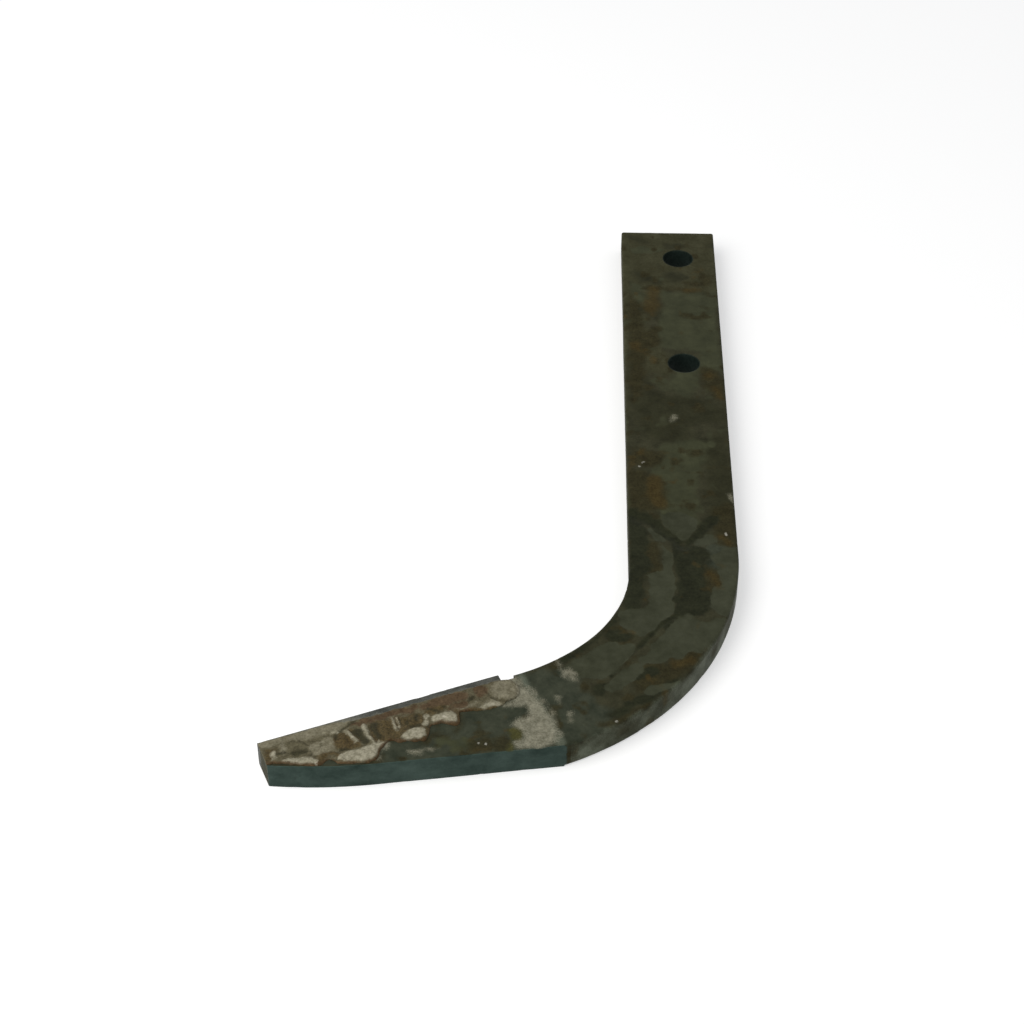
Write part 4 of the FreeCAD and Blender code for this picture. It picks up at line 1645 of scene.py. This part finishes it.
@dataclass
class BrazeDeposit:
    """The seam behind the strip and the crust of filler and flux on the top face.

    Places are in the arm frame, in millimetres.

    Attributes:
        upper_edge: Where the crust ends on the strip's top, from the puddle to the tip.
        lower_edge: Where it ends on the bar, from the puddle to the tip.
        film: Thickness of the crust between its lumps.
        lumps: Drops, ribs and folds that froze on it.
        pale_marks: Where it dried pale: the puddle, the ribs and the tip.
        film_marks: Where it is cream: the drops along its lower edge.
        band_marks: The rusty band along its upper half.
        gold_marks: Where the heat browned it.
        hollow_shade_marks: Painted shade in the cracks and hollows between its ribs.
        specks: White spatter on it.
        rim_width: Width of the brown rim along the lower edge.
        rim_run: Places on the arm between which that rim begins.
        step: Millimetres between stations along it.
        columns: Points across it.
        lumpy: Its coarse lumps.
        lump_height: Their height.
        gritty: Its fine grit.
        grit_height: Its height.
        height_range: The least and the most that it stands over the bar.
        shoulder: Width of its rounded edge.
        tuck: How far its very edge dips into the bar, and the width of that dip.
        bed: How far its underside lies below the bar's face.
        edge_gap: How far it stays inside the ground edge.
        least_width: Width that it always keeps.
        edge_stray: How far its edges wander.
        seam_steps: Stations along the seam.
        seam_gaps: How far the seam stays inside the strip's heel and its tip.
        seam_heights: Where the seam begins and ends over the underside.
        seam_grip: How far the seam reaches into the strip and into the bar.
        seam_bulge: How much its lower edge swells.
    """

    upper_edge: tuple[Point, ...] = (
        (1.5, 6.2), (2.2, 3.6), (3.8, 2.2), (6.5, 1.3), (9, 1.1), (14, 1.0), (25, 0.9), (40, 1.0),
        (57, 0.9), (61, 0.4), (64, -0.5), (68, -0.9), (80, -1.0), (92, -1.0),
    )
    lower_edge: tuple[Point, ...] = (
        (1.5, 6.2), (2.2, 8.8), (4, 10.7), (6.6, 11.4), (9, 12.2), (11, 12.9), (15, 12.7), (18, 12.1),
        (21, 11.2), (24.6, 10.4), (25.4, 12.5), (26.4, 15.0), (27.6, 15.6), (29, 15.1), (31, 13.7),
        (33.5, 12.8), (36, 13.0), (37.2, 15.2), (38.8, 17.5), (40.8, 18.4), (43.5, 17.6),
        (46, 16.3), (48.2, 15.8), (51, 14.4), (53.6, 15.8), (55.6, 17.3), (57.2, 20.1), (59.2, 21.0),
        (62, 20.5), (66, 19.1), (70, 17.5), (70.9, 16.0), (72.2, 14.8), (74, 15.2), (75.2, 16.0),
        (77.5, 15.7), (80, 14.6), (83, 13.0), (86, 11.4), (89, 9.9), (92, 8.9),
    )
    film: float = 0.42
    lumps: tuple[Relief, ...] = (
        Relief(Patch(((2.2, 5.5), (4, 2.8), (7.5, 1.8), (10.6, 3.2), (11.6, 6.2), (10.2, 9.6),
                      (6.8, 11), (3.2, 9.6))), 0.55, 2.0),
        Relief(Streak(((11.2, 3.6), (12.1, 6.2), (11.2, 9.2)), 0.9), 0.25, 0.9),
        Relief(Streak(((12.9, 5.0), (12.4, 8.0), (10.8, 10.6)), 0.5), -0.35, 0.9),
        Relief(Streak(((17.2, 3.4), (18.2, 2.6), (19.3, 3.4), (19.2, 4.8), (18.0, 5.2), (17.1, 4.4)), 0.6),
               0.3, 0.6),
        Relief(Patch(((26.5, 10.5), (29, 9.2), (33.5, 9.6), (34, 12), (31, 13.4), (28, 15),
                      (26.6, 13.4))), 0.62, 1.6),
        Relief(Streak(((38, 9), (40, 7.4), (43, 6.4)), 0.8), 0.5, 0.9),
        Relief(Streak(((43.4, 5.6), (43.9, 8.6)), 0.5), 0.45, 0.7),
        Relief(Streak(((45.0, 5.4), (45.5, 9.6)), 0.6), 0.5, 0.7),
        Relief(Streak(((47.0, 5.2), (47.1, 10.4)), 0.8), 0.5, 0.9),
        Relief(Streak(((40.4, 10.6), (42.4, 10.8)), 1.2), -0.4, 1.0),
        Relief(Patch(((38, 13), (41, 12.2), (45.5, 13), (46.4, 15.4), (43, 17.2), (40.6, 17.9),
                      (38.4, 15.6))), 0.68, 1.8),
        Relief(Streak(((50.2, 5.6), (51.0, 10.0), (50.4, 13.4)), 1.8), 0.45, 1.4),
        Relief(Streak(((53.6, 5.6), (54.2, 11.6)), 1.2), 0.35, 1.0),
        Relief(Streak(((55.0, 5.0), (55.4, 9.0)), 0.5), -0.3, 0.7),
        Relief(Streak(((56.8, 4.8), (57.0, 8.4), (56.3, 13.2)), 1.5), 0.55, 1.1),
        Relief(Streak(((59.2, 5.6), (59.4, 9.0), (58.4, 12.2)), 1.8), -0.2, 1.0),
        Relief(Streak(((62.8, 4.8), (62.0, 8.2), (61.2, 11.0)), 1.2), 0.55, 1.0),
        Relief(Streak(((65.4, 6.0), (65.2, 11.2)), 2.2), 0.45, 1.4),
        Relief(Streak(((65.4, 13.0), (66.6, 12.4), (67.8, 12.6)), 1.0), -0.3, 0.8),
        Relief(Patch(((53.5, 14.6), (60, 14.2), (67, 14.2), (68.6, 16.4), (64, 19.2), (59.4, 20.4),
                      (57.4, 18.8), (56, 16.4))), 0.62, 2.2),
        Relief(Streak(((68.4, 16.4), (69.2, 13.9), (71.6, 12.5), (74.4, 13.0), (76.2, 15.4)), 1.5),
               0.45, 1.2),
        Relief(Patch(((78.5, 3.4), (84, 2.6), (88.6, 4), (87.6, 6), (82, 6.4))), 0.4, 2.2),
        Relief(Streak(((76.5, 6.2), (79.0, 9.4), (83.8, 8.2), (87.4, 6.6)), 1.6), -0.16, 1.6),
        Relief(Streak(((77.4, 13.4), (82, 11.8), (87, 10.2)), 1.7), 0.4, 1.4),
        Relief(Streak(((84.5, 1.0), (85.6, 4.4), (85.2, 7.4)), 0.7), 0.22, 0.9),
        Relief(Streak(((59, 1.3), (63.4, 3.0), (66.6, 5.2), (67.6, 8.6)), 0.7), -0.32, 0.9),
        Relief(Streak(((68, 4.6), (75, 4.0), (78.5, 3.2)), 0.4), -0.16, 0.8),
        Relief(Streak(((20, 5.8), (28, 6.2), (36, 5.4)), 1.4), 0.18, 1.6),
        Relief(Streak(((14, 2.2), (24, 1.8), (40, 2.2), (56, 2.0)), 1.2), 0.12, 1.4),
    )
    pale_marks: tuple[Mark, ...] = (
        Patch(((2.4, 5.5), (4, 2.6), (7.5, 2.2), (10.8, 3.6), (11.6, 6.2), (10.2, 9.6), (6.8, 11.2),
               (3.0, 9.6))),
        Patch(((10.8, 10.2), (13, 9.6), (17, 10.4), (17, 12.2), (12, 12.8), (10.4, 12.0))),
        Patch(((17.5, 8.2), (21, 8.6), (25.5, 8.4), (25, 9.8), (19, 9.8))),
        Patch(((64, -0.8), (78, -1.0), (92, -1.0), (90.5, 2.4), (84.0, 1.6), (78, 2.8), (70, 3.8),
               (66, 3.8), (61.5, 1.6), (60, 0.2))),
        Patch(((68.6, 5.6), (72, 5.8), (76.4, 6.0), (76.4, 11.0), (72, 11.6), (68.8, 11.0))),
        Patch(((83.6, 2.4), (85.4, 2.4), (86.2, 6.4), (84.6, 6.8))),
        Streak(((46.9, 4.2), (47.3, 12.4)), 1.3),
        Streak(((45.4, 5.6), (45.9, 9.6), (45.8, 13.0)), 0.8),
        Streak(((56.8, 4.2), (57.2, 8.6), (56.2, 13.4)), 1.5),
        Streak(((62.9, 4.0), (62.2, 8.0), (61.2, 12.0)), 1.5),
        Patch(((42.6, 9.6), (46.6, 9.4), (47.4, 14.4), (43.2, 13.4))),
        Streak(((38.4, 9.6), (40.2, 7.6), (43.4, 6.4)), 0.7),
    )
    film_marks: tuple[Mark, ...] = (
        Patch(((26.4, 11), (28.5, 9.0), (33.8, 9.2), (34.4, 11.6), (31, 13.4), (28.6, 15.0),
               (27.2, 14.0))),
        Patch(((38.6, 13.6), (41, 12.6), (46.0, 13.6), (46, 15.4), (43, 17), (40.6, 17.6),
               (39.0, 15.6))),
        Patch(((51.6, 14.6), (56, 13.4), (62, 14.8), (67.5, 14.0), (69.4, 16.6), (64, 19.4), (59.4, 20.4),
               (57.2, 19.2), (55.6, 16.8))),
        Streak(((11.6, 11.4), (14.0, 10.8), (16.6, 11.4)), 1.4),
        Streak(((66.2, 4.0), (67.6, 3.8)), 0.8),
        Streak(((1.8, 4.4), (2.6, 8.4), (3.6, 10.8)), 1.2),
        Patch(((76.4, 14.6), (78, 11.4), (83, 10.2), (87, 9.6), (86.6, 11.2), (80.6, 13.8))),
        Streak(((45.4, 5.4), (45.9, 9.6)), 0.45),
        Streak(((46.9, 5.2), (47.3, 10.4)), 0.7),
        Streak(((56.7, 4.8), (57.0, 8.6), (56.2, 13.4)), 0.9),
        Streak(((62.9, 5.0), (62.0, 8.2), (61.3, 10.6)), 0.8),
        Streak(((35.6, 8.4), (37.4, 11.4)), 1.6),
        Streak(((88.6, 5.8), (89.6, 8.4)), 1.3),
    )
    band_marks: tuple[Mark, ...] = (
        Patch(((12, 2.2), (16, 1.9), (17.0, 4.4), (15.6, 6.6), (12.6, 6.0))),
        Patch(((19.8, 2.4), (28, 1.6), (36, 2.6), (36.8, 5.0), (33, 6.4), (26, 6.2), (20, 6.4))),
        Patch(((37, 1.8), (48, 1.6), (58, 1.8), (61, 3.0), (55, 4.6), (46, 4.6), (38, 4.6))),
        Patch(((63.6, 7.6), (66.8, 7.0), (67.8, 9.6), (66, 12.0), (63.2, 11.4))),
        Patch(((20, 6.4), (26, 6.6), (27, 8.6), (21, 9.2))),
    )
    gold_marks: tuple[Mark, ...] = (
        Patch(((36.6, 6.4), (43, 5.2), (49, 5.2), (51, 9), (51, 13), (47, 15.6), (44.6, 12.6), (39, 12.4),
               (37.6, 15.2), (36.4, 12.0))),
        Patch(((49, 5.4), (55, 5.2), (55.6, 13.2), (50, 13.8))),
        Streak(((25.6, 10.4), (26.4, 13.6), (28.2, 15.2)), 1.5),
        Streak(((68.5, 16.2), (69.4, 13.9), (71.8, 12.6), (74.4, 13.2), (76.2, 15.4)), 1.9),
        Patch(((60.6, 5.0), (67, 5.2), (68.2, 9), (67, 12.6), (61, 13.6), (60, 9))),
        Streak(((37.4, 13.0), (38.6, 16.4), (40.6, 18.0)), 1.2),
        Patch(((87.4, 4.2), (90.6, 2.4), (92, 6), (90.6, 8.6), (88.6, 6.8))),
        Patch(((28, 5.8), (35, 5.2), (36, 8.0), (31, 8.2))),
        Streak(((12.5, 13.0), (17, 12.2), (21, 11.2), (25, 10.2)), 1.6),
    )
    # Painted shade in the cracks and hollows between the ribs.
    hollow_shade_marks: tuple[Mark, ...] = (
        Streak(((12.9, 5.0), (12.4, 8.0), (11.0, 10.4)), 0.5),
        Patch(((17.6, 5.6), (19.6, 5.8), (20.2, 7.4), (18.4, 7.2))),
        Streak(((28.6, 6.6), (29.0, 7.2)), 0.6),
        Streak(((31, 7.6), (33.0, 6.4), (34.2, 5.6)), 0.9),
        Streak(((39.4, 11.2), (41.5, 11.2), (42.4, 10.8)), 1.3),
        Streak(((38.6, 6.6), (39.6, 8.4)), 1.3),
        Streak(((42.4, 7.6), (43.0, 9.0)), 0.8),
        Streak(((44.6, 6.4), (45.2, 8.6)), 0.35),
        Patch(((51.4, 5.0), (55.0, 4.8), (55.2, 8.6), (54.6, 12.6), (52.6, 11.6), (53.4, 8.0))),
        Patch(((57.8, 5.4), (61.6, 5.6), (60.4, 9.6), (59.6, 12.6), (57.2, 12.4), (58.0, 9.0))),
        Patch(((45.8, 15.0), (47.6, 14.8), (48.0, 15.8), (46.4, 16.2))),
        Streak(((65.4, 13.0), (66.6, 12.5), (67.6, 12.5)), 1.1),
        Streak(((59, 1.6), (63.4, 3.2), (66.6, 5.4), (67.2, 7.0)), 0.9),
        Patch(((77.6, 8.4), (80.4, 7.0), (83.4, 7.2), (82.6, 8.8), (78.8, 9.4))),
        Streak(((84.8, 6.8), (88.0, 6.2)), 0.9),
        Streak(((36.0, 13.4), (37.0, 12.0)), 1.2),
        Streak(((72.0, 7.0), (73.2, 8.6)), 0.5),
        Streak(((76.8, 9.0), (77.2, 11.0)), 0.6),
    )
    specks: tuple[Mark, ...] = (Streak(((77.0, 15.0),), 1.0), Streak(((30.6, 11.0),), 1.2))
    rim_width: float = 0.75
    rim_run: Point = (10.0, 24.0)
    step: float = 0.36
    columns: int = 64
    lumpy: Grain = Grain(3.0, 51, 4)
    lump_height: float = 0.16
    gritty: Grain = Grain(0.9, 52, 3)
    grit_height: float = 0.07
    height_range: Point = (0.08, 1.32)
    shoulder: float = 0.8
    tuck: Point = (0.3, 0.12)
    bed: float = 0.45
    edge_gap: float = 0.35
    least_width: float = 0.02
    edge_stray: float = 0.28
    seam_steps: int = 120
    seam_gaps: Point = (0.1, 0.02)
    seam_heights: Point = (0.05, 9.7)
    seam_grip: Point = (0.02, 0.05)
    seam_bulge: float = 0.05

    def edge_at(self, edge: tuple[Point, ...], along: np.ndarray, seed: int) -> np.ndarray:
        """Depth of one edge of the crust, a little ragged.

        Args:
            edge: Points along the edge.
            along: Stations along the arm.
            seed: Picks the way that it wanders.

        Returns:
            Its depth at each station.
        """
        line = run_through(edge, closed=False, steps=8)
        depth = np.interp(along, line[:, 0], line[:, 1])
        stray = Grain(1.6, seed).at(np.column_stack([along, np.zeros(len(along))]))
        return depth + self.edge_stray * stray * ease(along, edge[0][0], edge[0][0] + 2.0)

    def thickness(self, places: np.ndarray, from_edge: np.ndarray) -> np.ndarray:
        """Height of the crust over the bar's face.

        Args:
            places: Rows of two coordinates in the arm frame.
            from_edge: Distance of each place from the nearest free edge.

        Returns:
            Millimetres over the face, a little under it at the very edge.
        """
        height = (self.film + self.lump_height * self.lumpy.at(places)
                  + self.grit_height * self.gritty.at(places))
        for lump in self.lumps:
            height = height + lump.at(places)
        height = np.clip(height, *self.height_range)
        share = np.clip(from_edge / self.shoulder, 0.0, 1.0)
        rim = np.sqrt(np.clip(1.0 - (1.0 - share) ** 2, 0.0, 1.0))
        dip, run = self.tuck
        return height * rim - dip * (1.0 - ease(from_edge, 0.0, run))

    def crust(self) -> Skin:
        """Lay the crust as a closed shell, with its bed just under the bar's face.

        Returns:
            Its closed mesh.
        """
        steps = round((SIZES.tip_x - self.lower_edge[0][0]) / self.step)
        along = np.linspace(self.lower_edge[0][0], SIZES.tip_x, steps + 1)
        upper = self.edge_at(self.upper_edge, along, 53)
        lower = np.minimum(self.edge_at(self.lower_edge, along, 54), outer_depth(along) - self.edge_gap)
        lower = np.maximum(lower, upper + self.least_width)
        share = np.linspace(0.0, 1.0, self.columns + 1)
        across = upper[:, None] + (lower - upper)[:, None] * share[None]
        top = np.column_stack([np.repeat(along, self.columns + 1), across.ravel()])
        edge_lines = [np.column_stack([along, side]) for side in (upper, lower)]
        from_edge = np.minimum(*(distance_in_rows(top, line) for line in edge_lines))
        height = SIZES.thickness + self.thickness(top, from_edge)
        bed = np.full(len(top), SIZES.thickness - self.bed)
        plan = ARM.to_plan(top)
        count = (steps + 1, self.columns + 1, 3)
        upside = np.column_stack([plan, height]).reshape(count)
        downside = np.column_stack([plan, bed]).reshape(count)[:, ::-1]
        return loft(np.concatenate([upside, downside], axis=1), 4)

    def seam(self) -> Skin:
        """Lay the filler between the strip's seat and the floor of the rebate.

        Returns:
            Its closed mesh.
        """
        heel_gap, tip_gap = self.seam_gaps
        along = np.linspace(SIZES.heel_x + heel_gap, SIZES.tip_x - tip_gap, self.seam_steps + 1)
        places = np.column_stack([along, np.zeros(len(along))])
        bulge = self.seam_bulge * Grain(1.7, 55).lifted(places)
        low, high = self.seam_heights
        seat, floor = WearStrip.seat - self.seam_grip[0], SIZES.rebate_depth + self.seam_grip[1]
        sides = ((seat, low), (seat, high), (floor, high), (floor, low))
        rings = np.stack([
            np.column_stack([ARM.to_plan(np.column_stack([along, np.full(len(along), depth)])),
                             np.full(len(along), height) + (bulge if height == low else 0.0)])
            for depth, height in sides], axis=1)
        return loft(rings, 2)

    def build(self) -> bpy.types.Object:
        """Make the crust and the seam as one piece, without its finish."""
        return make_object("braze_crust", self.crust().joined(self.seam()), crease=55.0)

    def spreads(self) -> dict[Coat, Spread]:
        """List the coats whose marks are given for the crust.

        Returns:
            Where each of them lies, with the wander of its border.
        """
        return {
            Coat.PALE: Spread(self.pale_marks, 0.7, Grain(1.8, 60, 4)),
            Coat.FILM: Spread(self.film_marks, 0.5, Grain(1.6, 61)),
            Coat.BAND: Spread(self.band_marks, 0.9, Grain(2.0, 62)),
            Coat.GOLD: Spread(self.gold_marks, 0.6, Grain(1.5, 63)),
            Coat.HOLLOW_SHADE: Spread(self.hollow_shade_marks, 0.3, Grain(1.2, 64)),
            Coat.SPECK: Spread(self.specks, 0.3, Grain(1.0, 66)),
        }

    def dress(self, crust: bpy.types.Object) -> None:
        """Say where the crust is cream or browned, paint shade in its hollows and give it its finish.

        Args:
            crust: The mesh object.
        """
        arm = ARM.from_plan(places_of(crust)[:, :2])
        flat = np.column_stack([arm, np.zeros(len(arm))])
        for coat, spread in self.spreads().items():
            store(crust, coat, spread.depth(flat, np.ones(len(arm))))
        lower = np.interp(arm[:, 0], *np.array(self.lower_edge).T)
        rim = self.rim_width - (lower - arm[:, 1]) + 0.5 * Grain(2.4, 65).at(flat)
        begins, whole = self.rim_run
        rim -= 3.0 * ease(-arm[:, 0], -whole, -begins)
        store(crust, Coat.RIM, rim)
        crust.data.materials.append(DRIED_FLUX.build())
        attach(crust, "root")
        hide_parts("braze_deposit")


def distance_in_rows(places: np.ndarray, line: np.ndarray, rows: int = 4000) -> np.ndarray:
    """Distance from each place to a line of many points, a few thousand places at a time.

    Args:
        places: Rows of two coordinates.
        line: Points of the line, as rows.
        rows: How many places are measured at a time.

    Returns:
        One distance for each place.
    """
    starts, finishes = line[:-1], line[1:]
    parts = [distance_to(places[start:start + rows], starts, finishes)
             for start in range(0, len(places), rows)]
    return np.concatenate(parts)


# ---- the studio


@dataclass
class Studio:
    """A pale floor, soft light from all round and a camera over the arm's side of the blade.

    Attributes:
        eye: Where the camera stands, in millimetres.
        pitch: Degrees that it looks down from level.
        heading: Degrees that it is turned anticlockwise from +Y.
        lens: Focal length on a 36 mm sensor, in millimetres.
        sky: Strength of the light from all round.
        lamp: Watts of the soft lamp.
        lamp_place: Where it hangs, in metres.
        lamp_aim: What it points at, in metres.
        lamp_size: Across its round face, in metres.
        floor_colour: The floor's own shade.
        floor_glow: Light that the floor adds to its own shade where it is looked at.
        floor_reach: From its middle to its sides, in metres.
    """

    eye: tuple[float, float, float] = (-51.16, -771.93, 545.88)
    pitch: float = 40.0
    heading: float = 1.4317
    lens: float = 78.75
    sky: float = 0.56
    lamp: float = 6.0
    lamp_place: tuple[float, float, float] = (-0.6, -0.45, 0.7)
    lamp_aim: tuple[float, float, float] = (-0.05, -0.12, 0.0)
    lamp_size: float = 0.9
    floor_colour: str = "#DAD9D5"
    floor_glow: float = 0.45
    floor_reach: float = 6.0

    SENSOR = 36.0

    def set_camera(self) -> None:
        """Put up the camera and make it the scene's."""
        lens = bpy.data.cameras.new("camera")
        lens.lens = self.lens
        lens.sensor_width = self.SENSOR
        lens.clip_start = 0.01
        camera = bpy.data.objects.new("camera", lens)
        camera.location = [value * MM for value in self.eye]
        camera.rotation_euler = (math.radians(90.0 - self.pitch), 0.0, math.radians(self.heading))
        bpy.context.scene.collection.objects.link(camera)
        bpy.context.scene.camera = camera

    def seen_directly(self, tree: bpy.types.NodeTree) -> bpy.types.NodeSocket:
        """Tell what is seen straight, in a mirror or through glass from what only lights.

        Args:
            tree: Nodes of the world or of a material.

        Returns:
            A socket that gives 1 for what is seen and 0 otherwise.
        """
        path = add_node(tree, "ShaderNodeLightPath")
        either = add_node(tree, "ShaderNodeMath", {"operation": "MAXIMUM"},
                          {0: path.outputs["Is Camera Ray"], 1: path.outputs["Is Glossy Ray"]})
        return add_node(tree, "ShaderNodeMath", {"operation": "MAXIMUM"},
                        {0: either.outputs[0], 1: path.outputs["Is Transmission Ray"]}).outputs[0]

    def hang_sky(self) -> None:
        """White all round to look at, and a plain soft light on the blade."""
        world = bpy.data.worlds.new("studio")
        world.use_nodes = True
        tree = world.node_tree
        tree.nodes.clear()
        white = add_node(tree, "ShaderNodeBackground", {"Color": (1, 1, 1, 1), "Strength": 1.0})
        light = add_node(tree, "ShaderNodeBackground",
                         {"Color": linear("#F6F8FF"), "Strength": self.sky})
        either = add_node(tree, "ShaderNodeMixShader", links={
            0: self.seen_directly(tree), 1: light.outputs[0], 2: white.outputs[0]})
        add_node(tree, "ShaderNodeOutputWorld", links={"Surface": either.outputs[0]})
        bpy.context.scene.world = world

    def hang_lamp(self) -> None:
        """One large soft lamp up to the left, on the camera's side."""
        light = bpy.data.lights.new("soft_lamp", "AREA")
        light.shape = "DISK"
        light.size = self.lamp_size
        light.energy = self.lamp
        lamp = bpy.data.objects.new("soft_lamp", light)
        lamp.location = self.lamp_place
        aim = np.array(self.lamp_aim) - np.array(self.lamp_place)
        lamp.rotation_euler = (math.acos(-aim[2] / np.linalg.norm(aim)), 0.0,
                               math.atan2(aim[1], aim[0]) - math.pi / 2)
        bpy.context.scene.collection.objects.link(lamp)

    def lay_floor(self) -> None:
        """A pale matt floor under the blade, white to the camera but for the blade's shadow."""
        low, high = CAD_BOX
        reach = self.floor_reach
        middle = [(low[0] + high[0]) / 2, (low[1] + high[1]) / 2]
        corners = [(middle[0] + x * reach, middle[1] + y * reach, low[2])
                   for x, y in ((-1, -1), (1, -1), (1, 1), (-1, 1))]
        mesh = bpy.data.meshes.new("floor")
        mesh.from_pydata(corners, [], [(0, 1, 2, 3)])
        floor = bpy.data.objects.new("floor", mesh)
        bpy.context.scene.collection.objects.link(floor)
        material = bpy.data.materials.new("pale_floor")
        material.use_nodes = True
        tree = material.node_tree
        tree.nodes.clear()
        matt = add_node(tree, "ShaderNodeBsdfDiffuse", {"Color": linear(self.floor_colour)})
        strength = add_node(tree, "ShaderNodeMath", {"operation": "MULTIPLY", 1: self.floor_glow},
                            {0: self.seen_directly(tree)})
        glow = add_node(tree, "ShaderNodeEmission", {"Color": (1, 1, 1, 1)},
                        {"Strength": strength.outputs[0]})
        both = add_node(tree, "ShaderNodeAddShader", links={0: matt.outputs[0], 1: glow.outputs[0]})
        add_node(tree, "ShaderNodeOutputMaterial", links={"Surface": both.outputs[0]})
        mesh.materials.append(material)

    def build(self) -> None:
        """Set up the camera, the light and the floor."""
        self.set_camera()
        self.hang_sky()
        self.hang_lamp()
        self.lay_floor()
        bpy.context.scene.view_settings.view_transform = "Standard"


def main() -> None:
    """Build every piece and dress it."""
    logging.basicConfig(level=logging.INFO, format="%(name)s: %(message)s")
    Studio().build()
    for sub_assembly in (BentBar(), WearStrip(), BrazeDeposit()):
        piece = sub_assembly.build()
        sub_assembly.dress(piece)
        LOG.info("%s: %d vertices, %d faces", piece.name, len(piece.data.vertices),
                 len(piece.data.polygons))
    bpy.context.view_layer.update()


if __name__ == "__main__":
    main()
